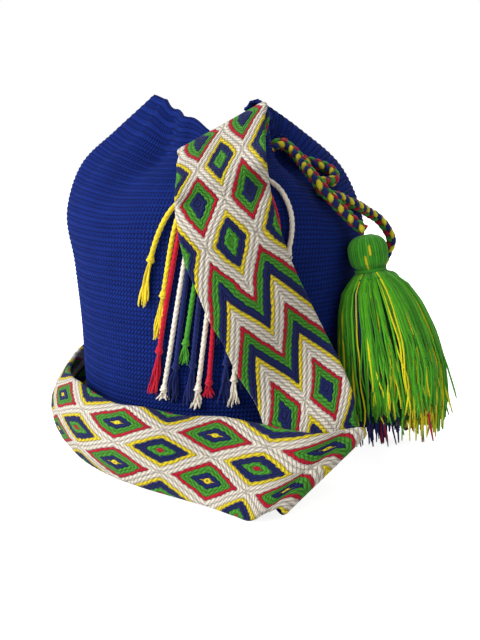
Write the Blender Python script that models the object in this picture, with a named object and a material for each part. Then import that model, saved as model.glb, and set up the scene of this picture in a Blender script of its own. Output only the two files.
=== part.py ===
"""A crocheted bucket bag: body, woven shoulder strap with fringed ends, braided drawstring and two tassels.

Metres, +Z up. The origin is on the floor under the middle of the base, and the strap hangs down the front, -Y.
"""

import math

import bmesh
import bpy
import numpy as np
from mathutils import Vector

# Driving sizes
BODY_RADIUS = 0.1355
BODY_HEIGHT = 0.313
WALL = 0.0035
ROUND_RELIEF = 0.0005
STRAP_WIDTH = 0.076
STRAP_THICKNESS = 0.004
WEAVE_RELIEF = 0.0006
WEAVE_REPEAT = 0.074
FOLD_RADIUS = 0.0038
STRAND_DIAMETER = 0.004
KNOT_DIAMETER = 0.0062
DRAWSTRING_DIAMETER = 0.0095
EYELET_CLEARANCE = 0.0010
EYELET_REACH = 0.020
FRONT_TASSEL_LENGTH = 0.172
REAR_TASSEL_LENGTH = 0.143
FRONT_TASSEL_WIDTH = 0.088
REAR_TASSEL_WIDTH = 0.078
TASSEL_DEPTH = 0.046
TASSEL_HEAD = 0.033
TASSEL_BOW = 0.005
BINDING_YARN = 0.0022
TOUCH = 0.0003

# How fine the solids are
BODY_SEGMENTS = 48
CROCHET_ROUNDS = 25
STRAP_COLUMNS = 8

# Wall stations as (radius, height) shares of the body's size, from the base to the shoulder
DRAWN_RADIUS = 0.1355
DRAWN_HEIGHT = 0.313
LOWER_WALL = ((0.1050, 0.0000), (0.1170, 0.0120), (0.1240, 0.0550), (0.1265, 0.1050), (0.1310, 0.1650))

# Gathered mouth: at each angle in degrees, the shoulder, the slope, the neck and the rim as (radius, height)
FOLDED_WALL = {
    -180: ((0.1355, 0.2130), (0.1220, 0.2510), (0.0920, 0.2810), (0.0590, 0.3130)),
    -136: ((0.1310, 0.2080), (0.0980, 0.2380), (0.0640, 0.2590), (0.0660, 0.2870)),
    -88: ((0.1320, 0.2130), (0.1180, 0.2400), (0.0960, 0.2600), (0.0820, 0.2760)),
    -62: ((0.1300, 0.2090), (0.1110, 0.2395), (0.0850, 0.2600), (0.0740, 0.2790)),
    -38: ((0.1270, 0.2040), (0.0950, 0.2350), (0.0600, 0.2570), (0.0560, 0.2880)),
    0: ((0.1300, 0.2050), (0.1120, 0.2470), (0.0720, 0.2820), (0.0360, 0.3110)),
    45: ((0.1310, 0.2080), (0.0980, 0.2380), (0.0620, 0.2590), (0.0640, 0.2870)),
    90: ((0.1330, 0.2130), (0.1180, 0.2400), (0.0920, 0.2620), (0.0800, 0.2790)),
    135: ((0.1310, 0.2080), (0.0980, 0.2380), (0.0620, 0.2590), (0.0680, 0.2880)),
}
LAST_STATION = len(LOWER_WALL) + 3

# Layers on the wall, as distances of their middle from it, with what the wall's own curve takes up
CURVE_ALLOWANCE = 0.0010
SEWN_LAYER = TOUCH + CURVE_ALLOWANCE + ROUND_RELIEF + WEAVE_RELIEF + STRAP_THICKNESS / 2
STRAND_LAYER = TOUCH + CURVE_ALLOWANCE + ROUND_RELIEF + STRAND_DIAMETER / 2
HANGING_LAYER = STRAND_LAYER + KNOT_DIAMETER - STRAND_DIAMETER / 2 + 0.0008 + WEAVE_RELIEF + STRAP_THICKNESS / 2

# The drawstring's route outside the wall: front end, centimetres
FRONT_RUN = (
    (5.9, -4.75, 26.6),
    (6.6, -5.3, 25.9),
    (7.2, -6.5, 25.0),
    (7.7, -7.8, 24.3),
    (8.3, -8.45, 23.5),
    (9.3, -8.4, 22.4),
    (10.4, -8.1, 21.3),
    (11.35, -8.1, 20.4),
    (12.0, -8.15, 19.9),
)
# Rear end, with the small curl it makes on the shoulder before it passes under the front end
REAR_RUN = (
    (7.3, -3.9, 25.5),
    (8.3, -3.9, 25.2),
    (9.12, -3.7, 24.93),
    (9.8, -3.9, 24.5),
    (9.9, -4.5, 23.95),
    (9.4, -5.1, 23.7),
    (8.78, -5.62, 23.73),
    (8.42, -6.22, 23.5),
    (8.46, -6.86, 23.12),
    (8.93, -7.15, 22.76),
    (9.57, -6.85, 22.62),
    (10.15, -6.2, 22.5),
    (10.9, -5.5, 22.1),
    (11.9, -4.7, 21.7),
    (13.1, -3.2, 21.0),
    (14.1, -2.6, 20.4),
    (14.9, -2.6, 19.5),
    (15.4, -2.5, 18.4),
    (15.1, -2.3, 17.3),
    (14.6, -2.0, 15.9),
)
# Round the neck: (angle, radius, height) in degrees and centimetres, in and out through the eyelets
NECK_RUN = (
    (-45, 7.2, 26.9),
    (-54, 6.9, 26.4),
    (-66, 6.1, 25.7),
    (-102, 5.0, 25.2),
    (-136, 5.1, 25.2),
    (-172, 5.1, 25.3),
    (-196, 5.2, 25.4),
    (-208, 6.1, 25.6),
    (-217, 7.1, 25.9),
    (-225, 7.5, 26.0),
    (-233, 7.1, 25.9),
    (-242, 6.1, 25.6),
    (-254, 5.2, 25.4),
    (-270, 4.9, 25.2),
    (-286, 5.2, 25.4),
    (-298, 6.1, 25.6),
    (-307, 7.1, 25.9),
    (-315, 7.5, 26.0),
    (-323, 7.1, 26.0),
    (-332, 6.1, 26.0),
    (-344, 5.3, 26.2),
    (-360, 5.0, 26.5),
    (-375, 5.2, 26.8),
    (-386, 6.1, 27.0),
)
# The rows of the neck run at which the cord goes through the wall
EYELET_ROWS = (1, 7, 11, 15, 19, 23)

# Front fringe, left to right: angle at the height FRINGE_FOOT, height of the lower end, height of the knot, yarn
FRINGE_FOOT = 7.0
FRONT_FRINGE = (
    (-120.5, 14.6, 18.2, "yellow"),
    (-117.3, 11.6, 14.9, "yellow"),
    (-114.1, 8.2, 16.3, "red"),
    (-110.9, 8.4, 11.6, "white"),
    (-107.7, 7.4, 13.2, "blue"),
    (-104.5, 9.6, 11.6, "green"),
    (-101.3, 7.2, 13.0, "blue"),
    (-98.1, 7.0, 9.3, "white"),
    (-94.9, 7.6, 10.8, "red"),
    (-91.7, 11.4, 13.4, "blue"),
    (-88.5, 7.2, 11.6, "blue"),
    (-85.3, 8.0, 10.2, "white"),
    (-82.1, 7.6, 11.8, "blue"),
    (-69.5, 16.0, 18.4, "green"),
    (-61.5, 17.6, 20.4, "red"),
    (-57.0, 18.0, 20.0, "white"),
)
BACK_FRINGE = (
    (71.5, 12.5, 14.6, "blue"),
    (75.9, 11.0, 13.2, "white"),
    (80.3, 12.0, 14.4, "green"),
    (84.7, 9.8, 12.4, "blue"),
    (89.1, 11.4, 13.8, "yellow"),
    (93.5, 10.4, 12.6, "red"),
    (97.9, 12.2, 14.2, "blue"),
    (102.3, 11.6, 13.2, "white"),
)
# The strap's sewn ends on the wall: (angle, height) of both corners, degrees and centimetres
FRONT_END = ((-104.5, 22.4), (-73.0, 24.4))
BACK_END = ((75.0, 22.4), (105.0, 22.4))


def key_steps(points):
    """Mean length between each point, or row of points, and the next."""
    lengths = np.linalg.norm(np.diff(np.asarray(points, float), axis=0), axis=-1)
    return np.maximum(lengths.reshape(len(lengths), -1).mean(axis=1), 1e-6)


def spline(points, at, steps=None):
    """Smooth curve through points, an array of shape (n, ..., 3 or 2), read at parameters from 0 to n - 1.

    Each point's slope weighs its two neighbours by their distance, so uneven points make no bulge.
    """
    points = np.asarray(points, float)
    at = np.asarray(at, float)
    steps = key_steps(points) if steps is None else steps
    shape = (-1,) + (1,) * (points.ndim - 1)
    gaps = steps.reshape(shape)
    secants = np.diff(points, axis=0) / gaps
    inner = (secants[:-1] * gaps[1:] + secants[1:] * gaps[:-1]) / (gaps[1:] + gaps[:-1])
    slopes = np.concatenate([secants[:1], inner, secants[-1:]])
    index = np.clip(at.astype(int), 0, len(points) - 2)
    u = (at - index).reshape(shape)
    run = gaps[index]
    return (
        (2 * u**3 - 3 * u**2 + 1) * points[index]
        + (u**3 - 2 * u**2 + u) * run * slopes[index]
        + (3 * u**2 - 2 * u**3) * points[index + 1]
        + (u**3 - u**2) * run * slopes[index + 1]
    )


def curve_lengths(points):
    """Parameters along the curve through points, and the length up to each."""
    fine = np.linspace(0, len(points) - 1, 40 * len(points))
    steps = np.linalg.norm(np.diff(spline(points, fine), axis=0), axis=1)
    return fine, np.concatenate([[0], np.cumsum(steps)])


def even_parameters(points, count):
    """Parameters that divide the curve through points into equal lengths."""
    fine, length = curve_lengths(points)
    return np.interp(np.linspace(0, length[-1], count), length, fine)


def sized(points):
    """Points in centimetres, as drawn, scaled to the body's size in metres."""
    scale = np.array((BODY_RADIUS / DRAWN_RADIUS, BODY_RADIUS / DRAWN_RADIUS, BODY_HEIGHT / DRAWN_HEIGHT))
    return np.asarray(points, float) * 0.01 * scale


def folded_stations(theta):
    """The four upper stations at the angles theta, eased from each fold to the next."""
    angles = np.array(sorted(FOLDED_WALL) + [180], float)
    table = np.array([FOLDED_WALL[int(a)] for a in angles[:-1]] + [FOLDED_WALL[-180]])
    theta = (np.asarray(theta, float) + 180) % 360 - 180
    index = np.clip(np.searchsorted(angles, theta, side="right") - 1, 0, len(angles) - 2)
    share = (theta - angles[index]) / (angles[index + 1] - angles[index])
    share = (0.5 - 0.5 * np.cos(np.pi * share))[:, None, None]
    return table[index] * (1 - share) + table[index + 1] * share


def wall_points(theta, station):
    """Outer face of the wall, of shape (stations, angles, 3), with no crochet on it."""
    lower = np.repeat(np.array(LOWER_WALL)[:, None, :], len(theta), axis=1)
    upper = np.moveaxis(folded_stations(theta), 1, 0)
    profile = spline(np.concatenate([lower, upper]), station)
    radius = profile[..., 0] * BODY_RADIUS / DRAWN_RADIUS
    height = profile[..., 1] * BODY_HEIGHT / DRAWN_HEIGHT
    turn = np.radians(theta)
    return np.stack([radius * np.cos(turn), radius * np.sin(turn), height], axis=-1)


def wall_normals(theta, station):
    """Unit normals of the wall's outer face, pointing out."""
    theta = np.asarray(theta, float)
    station = np.asarray(station, float)
    low = np.clip(station - 0.04, 0, LAST_STATION)
    high = np.clip(station + 0.04, 0, LAST_STATION)
    rise = wall_points(theta, high) - wall_points(theta, low)
    turn = wall_points(theta + 0.8, station) - wall_points(theta - 0.8, station)
    normal = np.cross(turn, rise)
    return normal / np.linalg.norm(normal, axis=-1, keepdims=True)


def beside_wall(theta, height, distance):
    """The point at an angle and a height in centimetres, this distance off the wall's outer face."""
    stations = np.linspace(0, LAST_STATION, 321)
    profile = wall_points([theta], stations)[:, 0, 2]
    station = np.interp(height * 0.01 * BODY_HEIGHT / DRAWN_HEIGHT, np.maximum.accumulate(profile), stations)
    point = wall_points([theta], [station])[0, 0]
    return point + distance * wall_normals([theta], [station])[0, 0]


def material(name, colour, roughness=0.9):
    """A plain Principled material."""
    made = bpy.data.materials.new(name)
    made.use_nodes = True
    shader = made.node_tree.nodes["Principled BSDF"]
    shader.inputs["Base Color"].default_value = (*colour, 1)
    shader.inputs["Roughness"].default_value = roughness
    made.diffuse_color = (*colour, 1)
    return made


def mesh_object(name, points, faces, look, collection, origin=(0, 0, 0)):
    """An object of hand-lofted faces, turned so that they point out."""
    points = np.asarray(points, float) - np.asarray(origin, float)
    mesh = bpy.data.meshes.new(name)
    mesh.from_pydata(points.tolist(), [], [tuple(int(i) for i in face) for face in faces])
    mesh.validate()
    mesh.materials.append(look)
    made = bpy.data.objects.new(name, mesh)
    made.location = origin
    collection.objects.link(made)
    return made


def tube_object(name, points, diameter, look, collection, widths=None, resolution=2):
    """A round cord through points, as a curve with filled caps."""
    curve = bpy.data.curves.new(name, "CURVE")
    curve.dimensions = "3D"
    curve.bevel_depth = diameter / 2
    curve.bevel_resolution = resolution
    curve.use_fill_caps = True
    curve.twist_mode = "MINIMUM"
    line = curve.splines.new("POLY")
    line.points.add(len(points) - 1)
    for k, point in enumerate(points):
        line.points[k].co = (*point, 1)
        line.points[k].radius = 1 if widths is None else widths[k] / diameter
    curve.materials.append(look)
    made = bpy.data.objects.new(name, curve)
    collection.objects.link(made)
    return made


def mesh_of_curve(curve, collection):
    """The curve's evaluated tube as a mesh object of the same name, its caps welded on."""
    name = curve.name
    graph = bpy.context.evaluated_depsgraph_get()
    mesh = bpy.data.meshes.new_from_object(curve.evaluated_get(graph))
    made = bpy.data.objects.new(name, mesh)
    made.matrix_world = curve.matrix_world
    bpy.data.objects.remove(curve)
    made.name = name
    collection.objects.link(made)
    weld(mesh)
    return made


def weld(mesh):
    """Joins points that coincide and turns the faces outward."""
    grid = bmesh.new()
    grid.from_mesh(mesh)
    bmesh.ops.remove_doubles(grid, verts=grid.verts, dist=0.00002)
    bmesh.ops.recalc_face_normals(grid, faces=grid.faces)
    grid.to_mesh(mesh)
    grid.free()


def ring_faces(rings, segments):
    """Quads between consecutive closed rings of points."""
    faces = []
    for row in range(rings - 1):
        for k in range(segments):
            after = (k + 1) % segments
            a, b = row * segments + k, row * segments + after
            faces.append((a, b, b + segments, a + segments))
    return faces


def bag_body(look, collection):
    """The crocheted body: ridged outer wall, rim, plain inner wall and a flat base."""
    theta = np.linspace(-180, 180, BODY_SEGMENTS, endpoint=False)
    mean_profile = wall_points(theta, np.linspace(0, LAST_STATION, 9)).mean(axis=1)
    stations = even_parameters(mean_profile, 2 * CROCHET_ROUNDS + 1)
    outer = wall_points(theta, stations)
    ridge = ROUND_RELIEF * np.where(np.arange(len(stations)) % 2, 1.0, -1.0)
    ridge[0] = 0
    ridge[-1] = 0
    outer = outer + wall_normals(theta, stations) * ridge[:, None, None]
    outer[0, :, 2] = 0
    # The inner wall has every second ring above the shoulder and every fourth below it
    high = stations[::-2][stations[::-2] > len(LOWER_WALL) - 0.5]
    low = stations[::-4][(stations[::-4] < high[-1] - 0.1) & (stations[::-4] > 0.3)]
    inner_stations = np.concatenate([high, low])
    inner = wall_points(theta, inner_stations) - WALL * wall_normals(theta, inner_stations)
    inner[..., 2] = np.maximum(inner[..., 2], WALL)
    floor_ring = inner[-1].copy() * (0.93, 0.93, 0)
    floor_ring[:, 2] = WALL
    rings = np.concatenate([outer, inner, floor_ring[None]])
    count = len(rings)
    centre_low = count * BODY_SEGMENTS
    points = np.concatenate([rings.reshape(-1, 3), [(0, 0, 0), (0, 0, WALL)]])
    faces = ring_faces(count, BODY_SEGMENTS)
    last = (count - 1) * BODY_SEGMENTS
    for k in range(BODY_SEGMENTS):
        after = (k + 1) % BODY_SEGMENTS
        faces.append((after, k, centre_low))
        faces.append((last + k, last + after, centre_low + 1))
    return mesh_object("bag_body", points, faces, look, collection)


def neck_points():
    """The drawstring's way round the neck, in metres."""
    turns = np.radians([row[0] for row in NECK_RUN])
    radius = np.array([row[1] for row in NECK_RUN])
    height = np.array([row[2] for row in NECK_RUN])
    return sized(np.stack([radius * np.cos(turns), radius * np.sin(turns), height], axis=-1))


def drawstring_route():
    """The whole cord, from the front tassel round the neck to the rear tassel."""
    return np.concatenate([sized(FRONT_RUN)[::-1], neck_points(), sized(REAR_RUN)])


def drawstring(look, collection):
    route = drawstring_route()
    points = spline(route, even_parameters(route, 78))
    return tube_object("drawstring", points, DRAWSTRING_DIAMETER, look, collection, resolution=2)


def eyelets(body, look, collection):
    """Cuts an eyelet wherever the drawstring goes through the wall."""
    route = drawstring_route()
    fine, length = curve_lengths(route)
    for number, row in enumerate(EYELET_ROWS, start=1):
        middle = np.interp(len(FRONT_RUN) + row, fine, length)
        at = np.interp(middle + np.linspace(-EYELET_REACH, EYELET_REACH, 9), length, fine)
        diameter = DRAWSTRING_DIAMETER + 2 * EYELET_CLEARANCE
        tube = tube_object(f"eyelet_cutter_{number}", spline(route, at), diameter, look, collection)
        cutter = mesh_of_curve(tube, collection)
        cutter.hide_render = True
        cutter.display_type = "WIRE"
        cut = body.modifiers.new(f"eyelet_{number}", "BOOLEAN")
        cut.operation = "DIFFERENCE"
        cut.solver = "EXACT"
        cut.object = cutter


def straight_row(low, high, bow=0.0):
    """A row of the strap from its left edge to its right edge, in centimetres as drawn, widened about its middle."""
    low, high = sized(low), sized(high)
    middle = (low + high) / 2
    reach = (high - low) * STRAP_WIDTH / 0.076
    share = np.linspace(0, 1, STRAP_COLUMNS + 1)[:, None]
    return middle + reach * (share - 0.5), bow * 0.01


def wall_row(low_angle, low_height, high_angle, high_height, distance):
    """A row of the strap that follows the wall between two places on it."""
    grow = STRAP_WIDTH / 0.076
    middle = np.array((low_angle + high_angle, low_height + high_height)) / 2
    reach = np.array((high_angle - low_angle, high_height - low_height)) * grow
    share = np.linspace(0, 1, STRAP_COLUMNS + 1) - 0.5
    return np.array([beside_wall(*(middle + reach * s), distance) for s in share]), 0.0


def turned_rows(low, high, ahead, outward, bow=0.0):
    """Five rows that take the strap round a fold: half a turn about a line beside the row from low to high."""
    rows = []
    for turn in np.linspace(0, math.pi, 5):
        shift = FOLD_RADIUS * 100 * (np.array(ahead) * math.sin(turn) + np.array(outward) * (1 - math.cos(turn)))
        rows.append(straight_row(np.array(low) + shift, np.array(high) + shift, bow * math.cos(turn)))
    return rows


def strap_rows():
    """Key rows along the strap, from its front end to its back end."""
    s, h = SEWN_LAYER, HANGING_LAYER
    return [
        # Sewn to the front of the bag, and up to the fold above the rim
        wall_row(*FRONT_END[0], *FRONT_END[1], s),
        wall_row(-104.0, 23.4, -72.5, 25.6, s),
        straight_row((-3.1, -10.9, 25.0), (3.9, -9.3, 28.2)),
        *turned_rows((-2.95, -10.15, 25.7), (3.95, -8.25, 29.5), (-0.50, 0.63, 0.59), (-0.15, -0.74, 0.65)),
        straight_row((-3.2, -11.6, 25.4), (3.65, -9.7, 29.1)),
        straight_row((-3.2, -12.6, 24.4), (3.6, -11.0, 27.6)),
        straight_row((-3.3, -13.8, 23.1), (3.6, -12.9, 25.6)),
        # Hanging down the front
        wall_row(-103.6, 21.8, -73.2, 23.6, h),
        wall_row(-101.8, 19.8, -73.0, 21.8, h),
        wall_row(-99.8, 17.8, -71.0, 20.1, h),
        wall_row(-96.5, 15.7, -69.0, 19.0, h),
        wall_row(-93.7, 13.9, -67.0, 18.0, h),
        wall_row(-89.2, 11.9, -61.0, 15.3, h),
        straight_row((1.3, -13.7, 9.3), (8.2, -11.8, 12.6), 0.15),
        straight_row((3.0, -13.8, 6.4), (9.6, -12.4, 9.9)),
        straight_row((3.9, -16.6, 3.0), (10.6, -13.6, 7.4)),
        # Folded over at the right, and along the floor across the front
        *turned_rows((4.2, -20.2, 0.65), (11.0, -15.1, 4.9), (0.64, -0.40, -0.65), (0.17, -0.79, 0.59)),
        straight_row((3.4, -21.0, 0.95), (10.1, -15.9, 5.45)),
        straight_row((2.25, -21.3, 0.5), (7.6, -16.75, 5.35)),
        straight_row((0.9, -20.3, 0.4), (3.6, -15.5, 5.6), -0.2),
        straight_row((-0.9, -18.8, 0.4), (0.3, -14.0, 5.8), -0.4),
        straight_row((-3.6, -16.8, 0.4), (-3.0, -13.3, 5.7), -0.9),
        straight_row((-6.4, -14.7, 0.4), (-6.1, -12.3, 6.1), -1.1),
        straight_row((-8.7, -12.6, 0.4), (-8.4, -10.7, 5.9), -1.2),
        straight_row((-11.1, -9.6, 0.4), (-10.5, -8.3, 6.1), -1.2),
        # Round the left side
        straight_row((-12.8, -6.5, 0.4), (-12.1, -5.7, 6.3), -1.2),
        straight_row((-14.2, -3.4, 0.4), (-13.3, -2.9, 6.0), -1.2),
        straight_row((-15.0, -0.2, 0.4), (-14.3, 1.0, 6.0), -1.1),
        straight_row((-15.0, 2.8, 0.4), (-14.1, 4.6, 6.6), -0.8),
        straight_row((-14.2, 6.4, 0.5), (-12.9, 8.0, 7.3), -0.3),
        # Up the back
        wall_row(141, 1.6, 136, 9.0, h + 0.004),
        wall_row(124, 4.6, 126, 12.2, h + 0.002),
        wall_row(108, 9.2, 117.5, 16.0, h),
        wall_row(93.5, 13.8, 113.5, 19.4, h),
        wall_row(83.0, 18.4, 110.5, 21.9, h),
        straight_row((3.8, 13.4, 23.6), (-3.8, 13.4, 24.3)),
        straight_row((3.8, 12.1, 25.2), (-3.8, 12.1, 25.4)),
        straight_row((3.8, 11.0, 26.1), (-3.8, 11.0, 26.1)),
        # Over the fold, and sewn to the back of the bag
        *turned_rows((3.8, 10.1, 27.1), (-3.8, 10.1, 27.1), (0, -0.66, 0.75), (0, -0.75, -0.66)),
        straight_row((3.8, 10.9, 25.2), (-3.8, 10.9, 25.2)),
        wall_row(74.5, 23.7, 105.5, 23.7, s),
        wall_row(*BACK_END[0], *BACK_END[1], s),
    ]


# Where the rows run close together round the folds: first key row, last key row and number of rows
STRAP_FOLDS = ((2.0, 8.0, 12), (20.0, 25.0, 11), (41.0, 46.0, 11))


def weave_height(across, along):
    """Height share of the woven outlines: diamonds in two columns, with the cords standing up between them."""
    column = 4 * np.minimum(np.abs(across - 0.25), np.abs(across - 0.75))
    distance = 2 * np.abs(along - np.round(along)) + column
    return np.clip(1 - np.abs(distance - 1) / 0.45, 0, 1)


def strap(look, collection):
    """One band with its folds: rows of points across it, thickened on both faces."""
    keys = strap_rows()
    count = len(keys)
    rows = np.array([key[0] for key in keys])
    bows = np.array([key[1] for key in keys])
    fine = np.linspace(0, count - 1, 3000)
    steps = key_steps(rows)
    middle = spline(rows[:, STRAP_COLUMNS // 2], fine, steps)
    length = np.concatenate([[0], np.cumsum(np.linalg.norm(np.diff(middle, axis=0), axis=1))])
    quarters = np.arange(0, length[-1], WEAVE_REPEAT / 4)
    at = list(np.interp(quarters, length, fine)) + [count - 1]
    for first, last, number in STRAP_FOLDS:
        at = [value for value in at if not first - 0.12 < value < last + 0.12]
        at += list(np.linspace(first, last, number))
    at = np.array(sorted(at))
    grid = spline(rows, at, steps)
    # The bow of each row stands along the band's own normal
    along = spline(rows, np.minimum(at + 0.02, count - 1), steps) - spline(rows, np.maximum(at - 0.02, 0), steps)
    across = grid[:, -1:] - grid[:, :1]
    normal = np.cross(along.mean(axis=1, keepdims=True), across)
    normal /= np.linalg.norm(normal, axis=-1, keepdims=True)
    share = np.linspace(0, 1, STRAP_COLUMNS + 1)
    arch = 4 * share * (1 - share)
    grid = grid + normal * (spline(bows[:, None], at, steps) * arch)[..., None]
    normal = np.cross(along, np.gradient(grid, axis=1))
    normal /= np.linalg.norm(normal, axis=-1, keepdims=True)
    centre_length = np.interp(at, fine, length) / WEAVE_REPEAT
    flat = np.ones(len(at))
    for first, last, _ in STRAP_FOLDS:
        flat[(at > first - 0.2) & (at < last + 0.2)] = 0
    height = weave_height(share[None, :], centre_length[:, None]) * flat[:, None] * WEAVE_RELIEF
    half = STRAP_THICKNESS / 2 + height
    upper = grid + normal * half[..., None]
    lower = grid - normal * half[..., None]
    # Each row stands no lower than the floor
    low = np.minimum(upper[..., 2], lower[..., 2]).min(axis=1)
    lift = np.maximum(0, TOUCH - low)
    upper[..., 2] += lift[:, None]
    lower[..., 2] += lift[:, None]
    rings = np.concatenate([upper, lower[:, ::-1]], axis=1)
    ring = rings.shape[1]
    faces = []
    for row in range(len(at) - 1):
        for k in range(ring):
            after = (k + 1) % ring
            a, b = row * ring + k, row * ring + after
            c, d = b + ring, a + ring
            column = min(k, ring - 1 - k)
            if (row + column) % 2:
                faces += [(a, b, c), (a, c, d)]
            else:
                faces += [(a, b, d), (b, c, d)]
    last = (len(at) - 1) * ring
    for k in range(STRAP_COLUMNS):
        faces.append((k + 1, k, ring - 1 - k, ring - 2 - k))
        faces.append((last + k, last + k + 1, last + ring - 2 - k, last + ring - 1 - k))
    made = mesh_object("strap", rings.reshape(-1, 3), faces, look, collection)
    weld(made.data)
    return made


def strand(name, top, low_angle, foot, knot, look, collection):
    """A twisted cord down the wall from top, an (angle, height), with a knot and a loosened end below it."""
    heights = np.linspace(top[1], foot, 9)
    heights[np.argmin(np.abs(heights[1:-1] - knot)) + 1] = knot
    share = (top[1] - heights) / (top[1] - FRINGE_FOOT)
    angles = top[0] + (low_angle - top[0]) * share
    tied = np.abs(heights - knot) < 1e-6
    distance = STRAND_LAYER + tied * (KNOT_DIAMETER - STRAND_DIAMETER) / 2
    points = [beside_wall(*place) for place in zip(angles, heights, distance)]
    widths = np.where(tied, KNOT_DIAMETER, STRAND_DIAMETER)
    return tube_object(name, points, STRAND_DIAMETER, look, collection, widths)


def fringe(name, rows, end, looks, collection):
    """Strands side by side from one sewn end of the strap, given by its two corners."""
    for k, (low_angle, foot, knot, yarn) in enumerate(rows):
        share = 0.02 + 0.96 * k / (len(rows) - 1)
        edge = (1 - share) * np.array(end[0]) + share * np.array(end[1])
        top = edge - (0, 100 * (WEAVE_RELIEF + STRAND_DIAMETER) / 4)
        strand(f"{name}_{k + 1:02d}", top, low_angle, foot, knot, looks[yarn], collection)


def tassel(name, top, foot, length, width, depth, look, binding_look, collection):
    """A yarn tassel: round head, tied neck and a fluted skirt, with the binding round its neck."""
    top, foot = np.asarray(top, float), np.asarray(foot, float)
    axis = (foot - top) / np.linalg.norm(foot - top)
    side = np.cross(axis, (0, 1, 0))
    side /= np.linalg.norm(side)
    front = np.cross(side, axis)
    head = TASSEL_HEAD / 2
    neck = head * 0.80
    rings = (
        # distance down the axis, half width, half depth, flute depth
        (0.0000, head * 0.30, head * 0.30, 0.0),
        (0.0030, head * 0.72, head * 0.72, 0.0),
        (0.0085, head * 0.96, head * 0.96, 0.0),
        (0.0160, head, head, 0.0),
        (0.0235, head * 0.92, head * 0.92, 0.0),
        (0.0270, neck, neck, 0.0),
        (0.0310, neck, neck, 0.0),
        (0.0365, head * 1.10, head * 0.98, 0.04),
        (length * 0.26, 0.61 * width / 2, 0.70 * depth / 2, 0.07),
        (length * 0.36, 0.78 * width / 2, 0.83 * depth / 2, 0.08),
        (length * 0.50, 0.91 * width / 2, 0.93 * depth / 2, 0.08),
        (length * 0.66, width / 2, depth / 2, 0.08),
        (length * 0.84, 0.98 * width / 2, 0.98 * depth / 2, 0.08),
        (length, 0.92 * width / 2, 0.94 * depth / 2, 0.10),
    )
    segments = 32
    turn = np.linspace(0, 2 * np.pi, segments, endpoint=False)
    points = []
    for down, across, deep, flute in rings:
        swell = 1 - flute * (np.arange(segments) % 2)
        points.append(
            top
            + axis * down
            + side * TASSEL_BOW * math.sin(math.pi * max(0, (down - TASSEL_HEAD) / (length - TASSEL_HEAD)))
            + side * (across * swell * np.cos(turn))[:, None]
            + front * (deep * swell * np.sin(turn))[:, None]
        )
    points = np.concatenate(points)
    count = len(rings)
    faces = ring_faces(count, segments)
    faces.append(tuple(range(segments))[::-1])
    points = np.concatenate([points, [top + axis * (length - 0.004)]])
    last = (count - 1) * segments
    for k in range(segments):
        faces.append((last + k, last + (k + 1) % segments, count * segments))
    made = mesh_object(name, points, faces, look, collection)
    weld(made.data)
    middle = top + axis * 0.029
    bpy.ops.mesh.primitive_torus_add(
        major_radius=neck + BINDING_YARN / 2 + TOUCH + 0.0002,
        minor_radius=BINDING_YARN / 2,
        major_segments=28,
        minor_segments=6,
        location=middle,
    )
    ring = bpy.context.object
    ring.name = f"{name}_binding"
    ring.rotation_mode = "QUATERNION"
    ring.rotation_quaternion = Vector((0, 0, 1)).rotation_difference(Vector(axis))
    for owner in list(ring.users_collection):
        owner.objects.unlink(ring)
    collection.objects.link(ring)
    ring.data.materials.append(binding_look)
    return made


def tassels(looks, collection):
    """Each tassel hangs from its end of the drawstring."""
    for name, run, length, width, swing in (
        ("tassel_front", FRONT_RUN, FRONT_TASSEL_LENGTH, FRONT_TASSEL_WIDTH, (0.028, -0.022)),
        ("tassel_rear", REAR_RUN, REAR_TASSEL_LENGTH, REAR_TASSEL_WIDTH, (0.026, -0.010)),
    ):
        end = sized(run[-1])
        before = sized(run[-2])
        heading = (end - before) / np.linalg.norm(end - before)
        drop = math.sqrt(length**2 - swing[0] ** 2 - swing[1] ** 2)
        down = np.array((*swing, -drop))
        # The cord's end is cut square, so the head keeps clear of its lower edge
        tilt = np.linalg.norm(np.cross(heading, down / length))
        top = end + down / length * (TOUCH + tilt * DRAWSTRING_DIAMETER / 2)
        foot = top + down
        tassel(name, top, foot, length, width, TASSEL_DEPTH, looks["green"], looks["binding"], collection)


def main():
    """Clears the scene and builds the bag."""
    for leftover in list(bpy.data.objects):
        bpy.data.objects.remove(leftover)
    parts = bpy.data.collections.new("crocheted_bag")
    cutters = bpy.data.collections.new("cutters")
    bpy.context.scene.collection.children.link(parts)
    bpy.context.scene.collection.children.link(cutters)
    looks = {
        "body": material("blue_crochet", (0.010, 0.028, 0.20)),
        "strap": material("woven_cotton", (0.60, 0.56, 0.46)),
        "braid": material("braided_cord", (0.10, 0.12, 0.08)),
        "blue": material("blue_yarn", (0.008, 0.020, 0.18)),
        "green": material("green_yarn", (0.06, 0.36, 0.02)),
        "binding": material("binding_yarn", (0.08, 0.40, 0.03)),
        "red": material("red_yarn", (0.50, 0.010, 0.030)),
        "yellow": material("yellow_yarn", (0.72, 0.62, 0.03)),
        "white": material("cream_yarn", (0.66, 0.61, 0.50)),
    }
    body = bag_body(looks["body"], parts)
    eyelets(body, looks["body"], cutters)
    strap(looks["strap"], parts)
    drawstring(looks["braid"], parts)
    fringe("fringe_front", FRONT_FRINGE, FRONT_END, looks, parts)
    fringe("fringe_back", BACK_FRINGE, BACK_END, looks, parts)
    tassels(looks, parts)


main()
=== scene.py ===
"""Looks of a crocheted bucket bag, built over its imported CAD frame.

The bag is a crocheted cotton body with a gathered mouth, a woven shoulder strap with fringed ends, and a braided
drawstring with two yarn tassels. Metres, +Z up; the strap hangs down the front, -Y.
"""

import logging
import math
from dataclasses import dataclass, field
from enum import Enum

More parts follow.
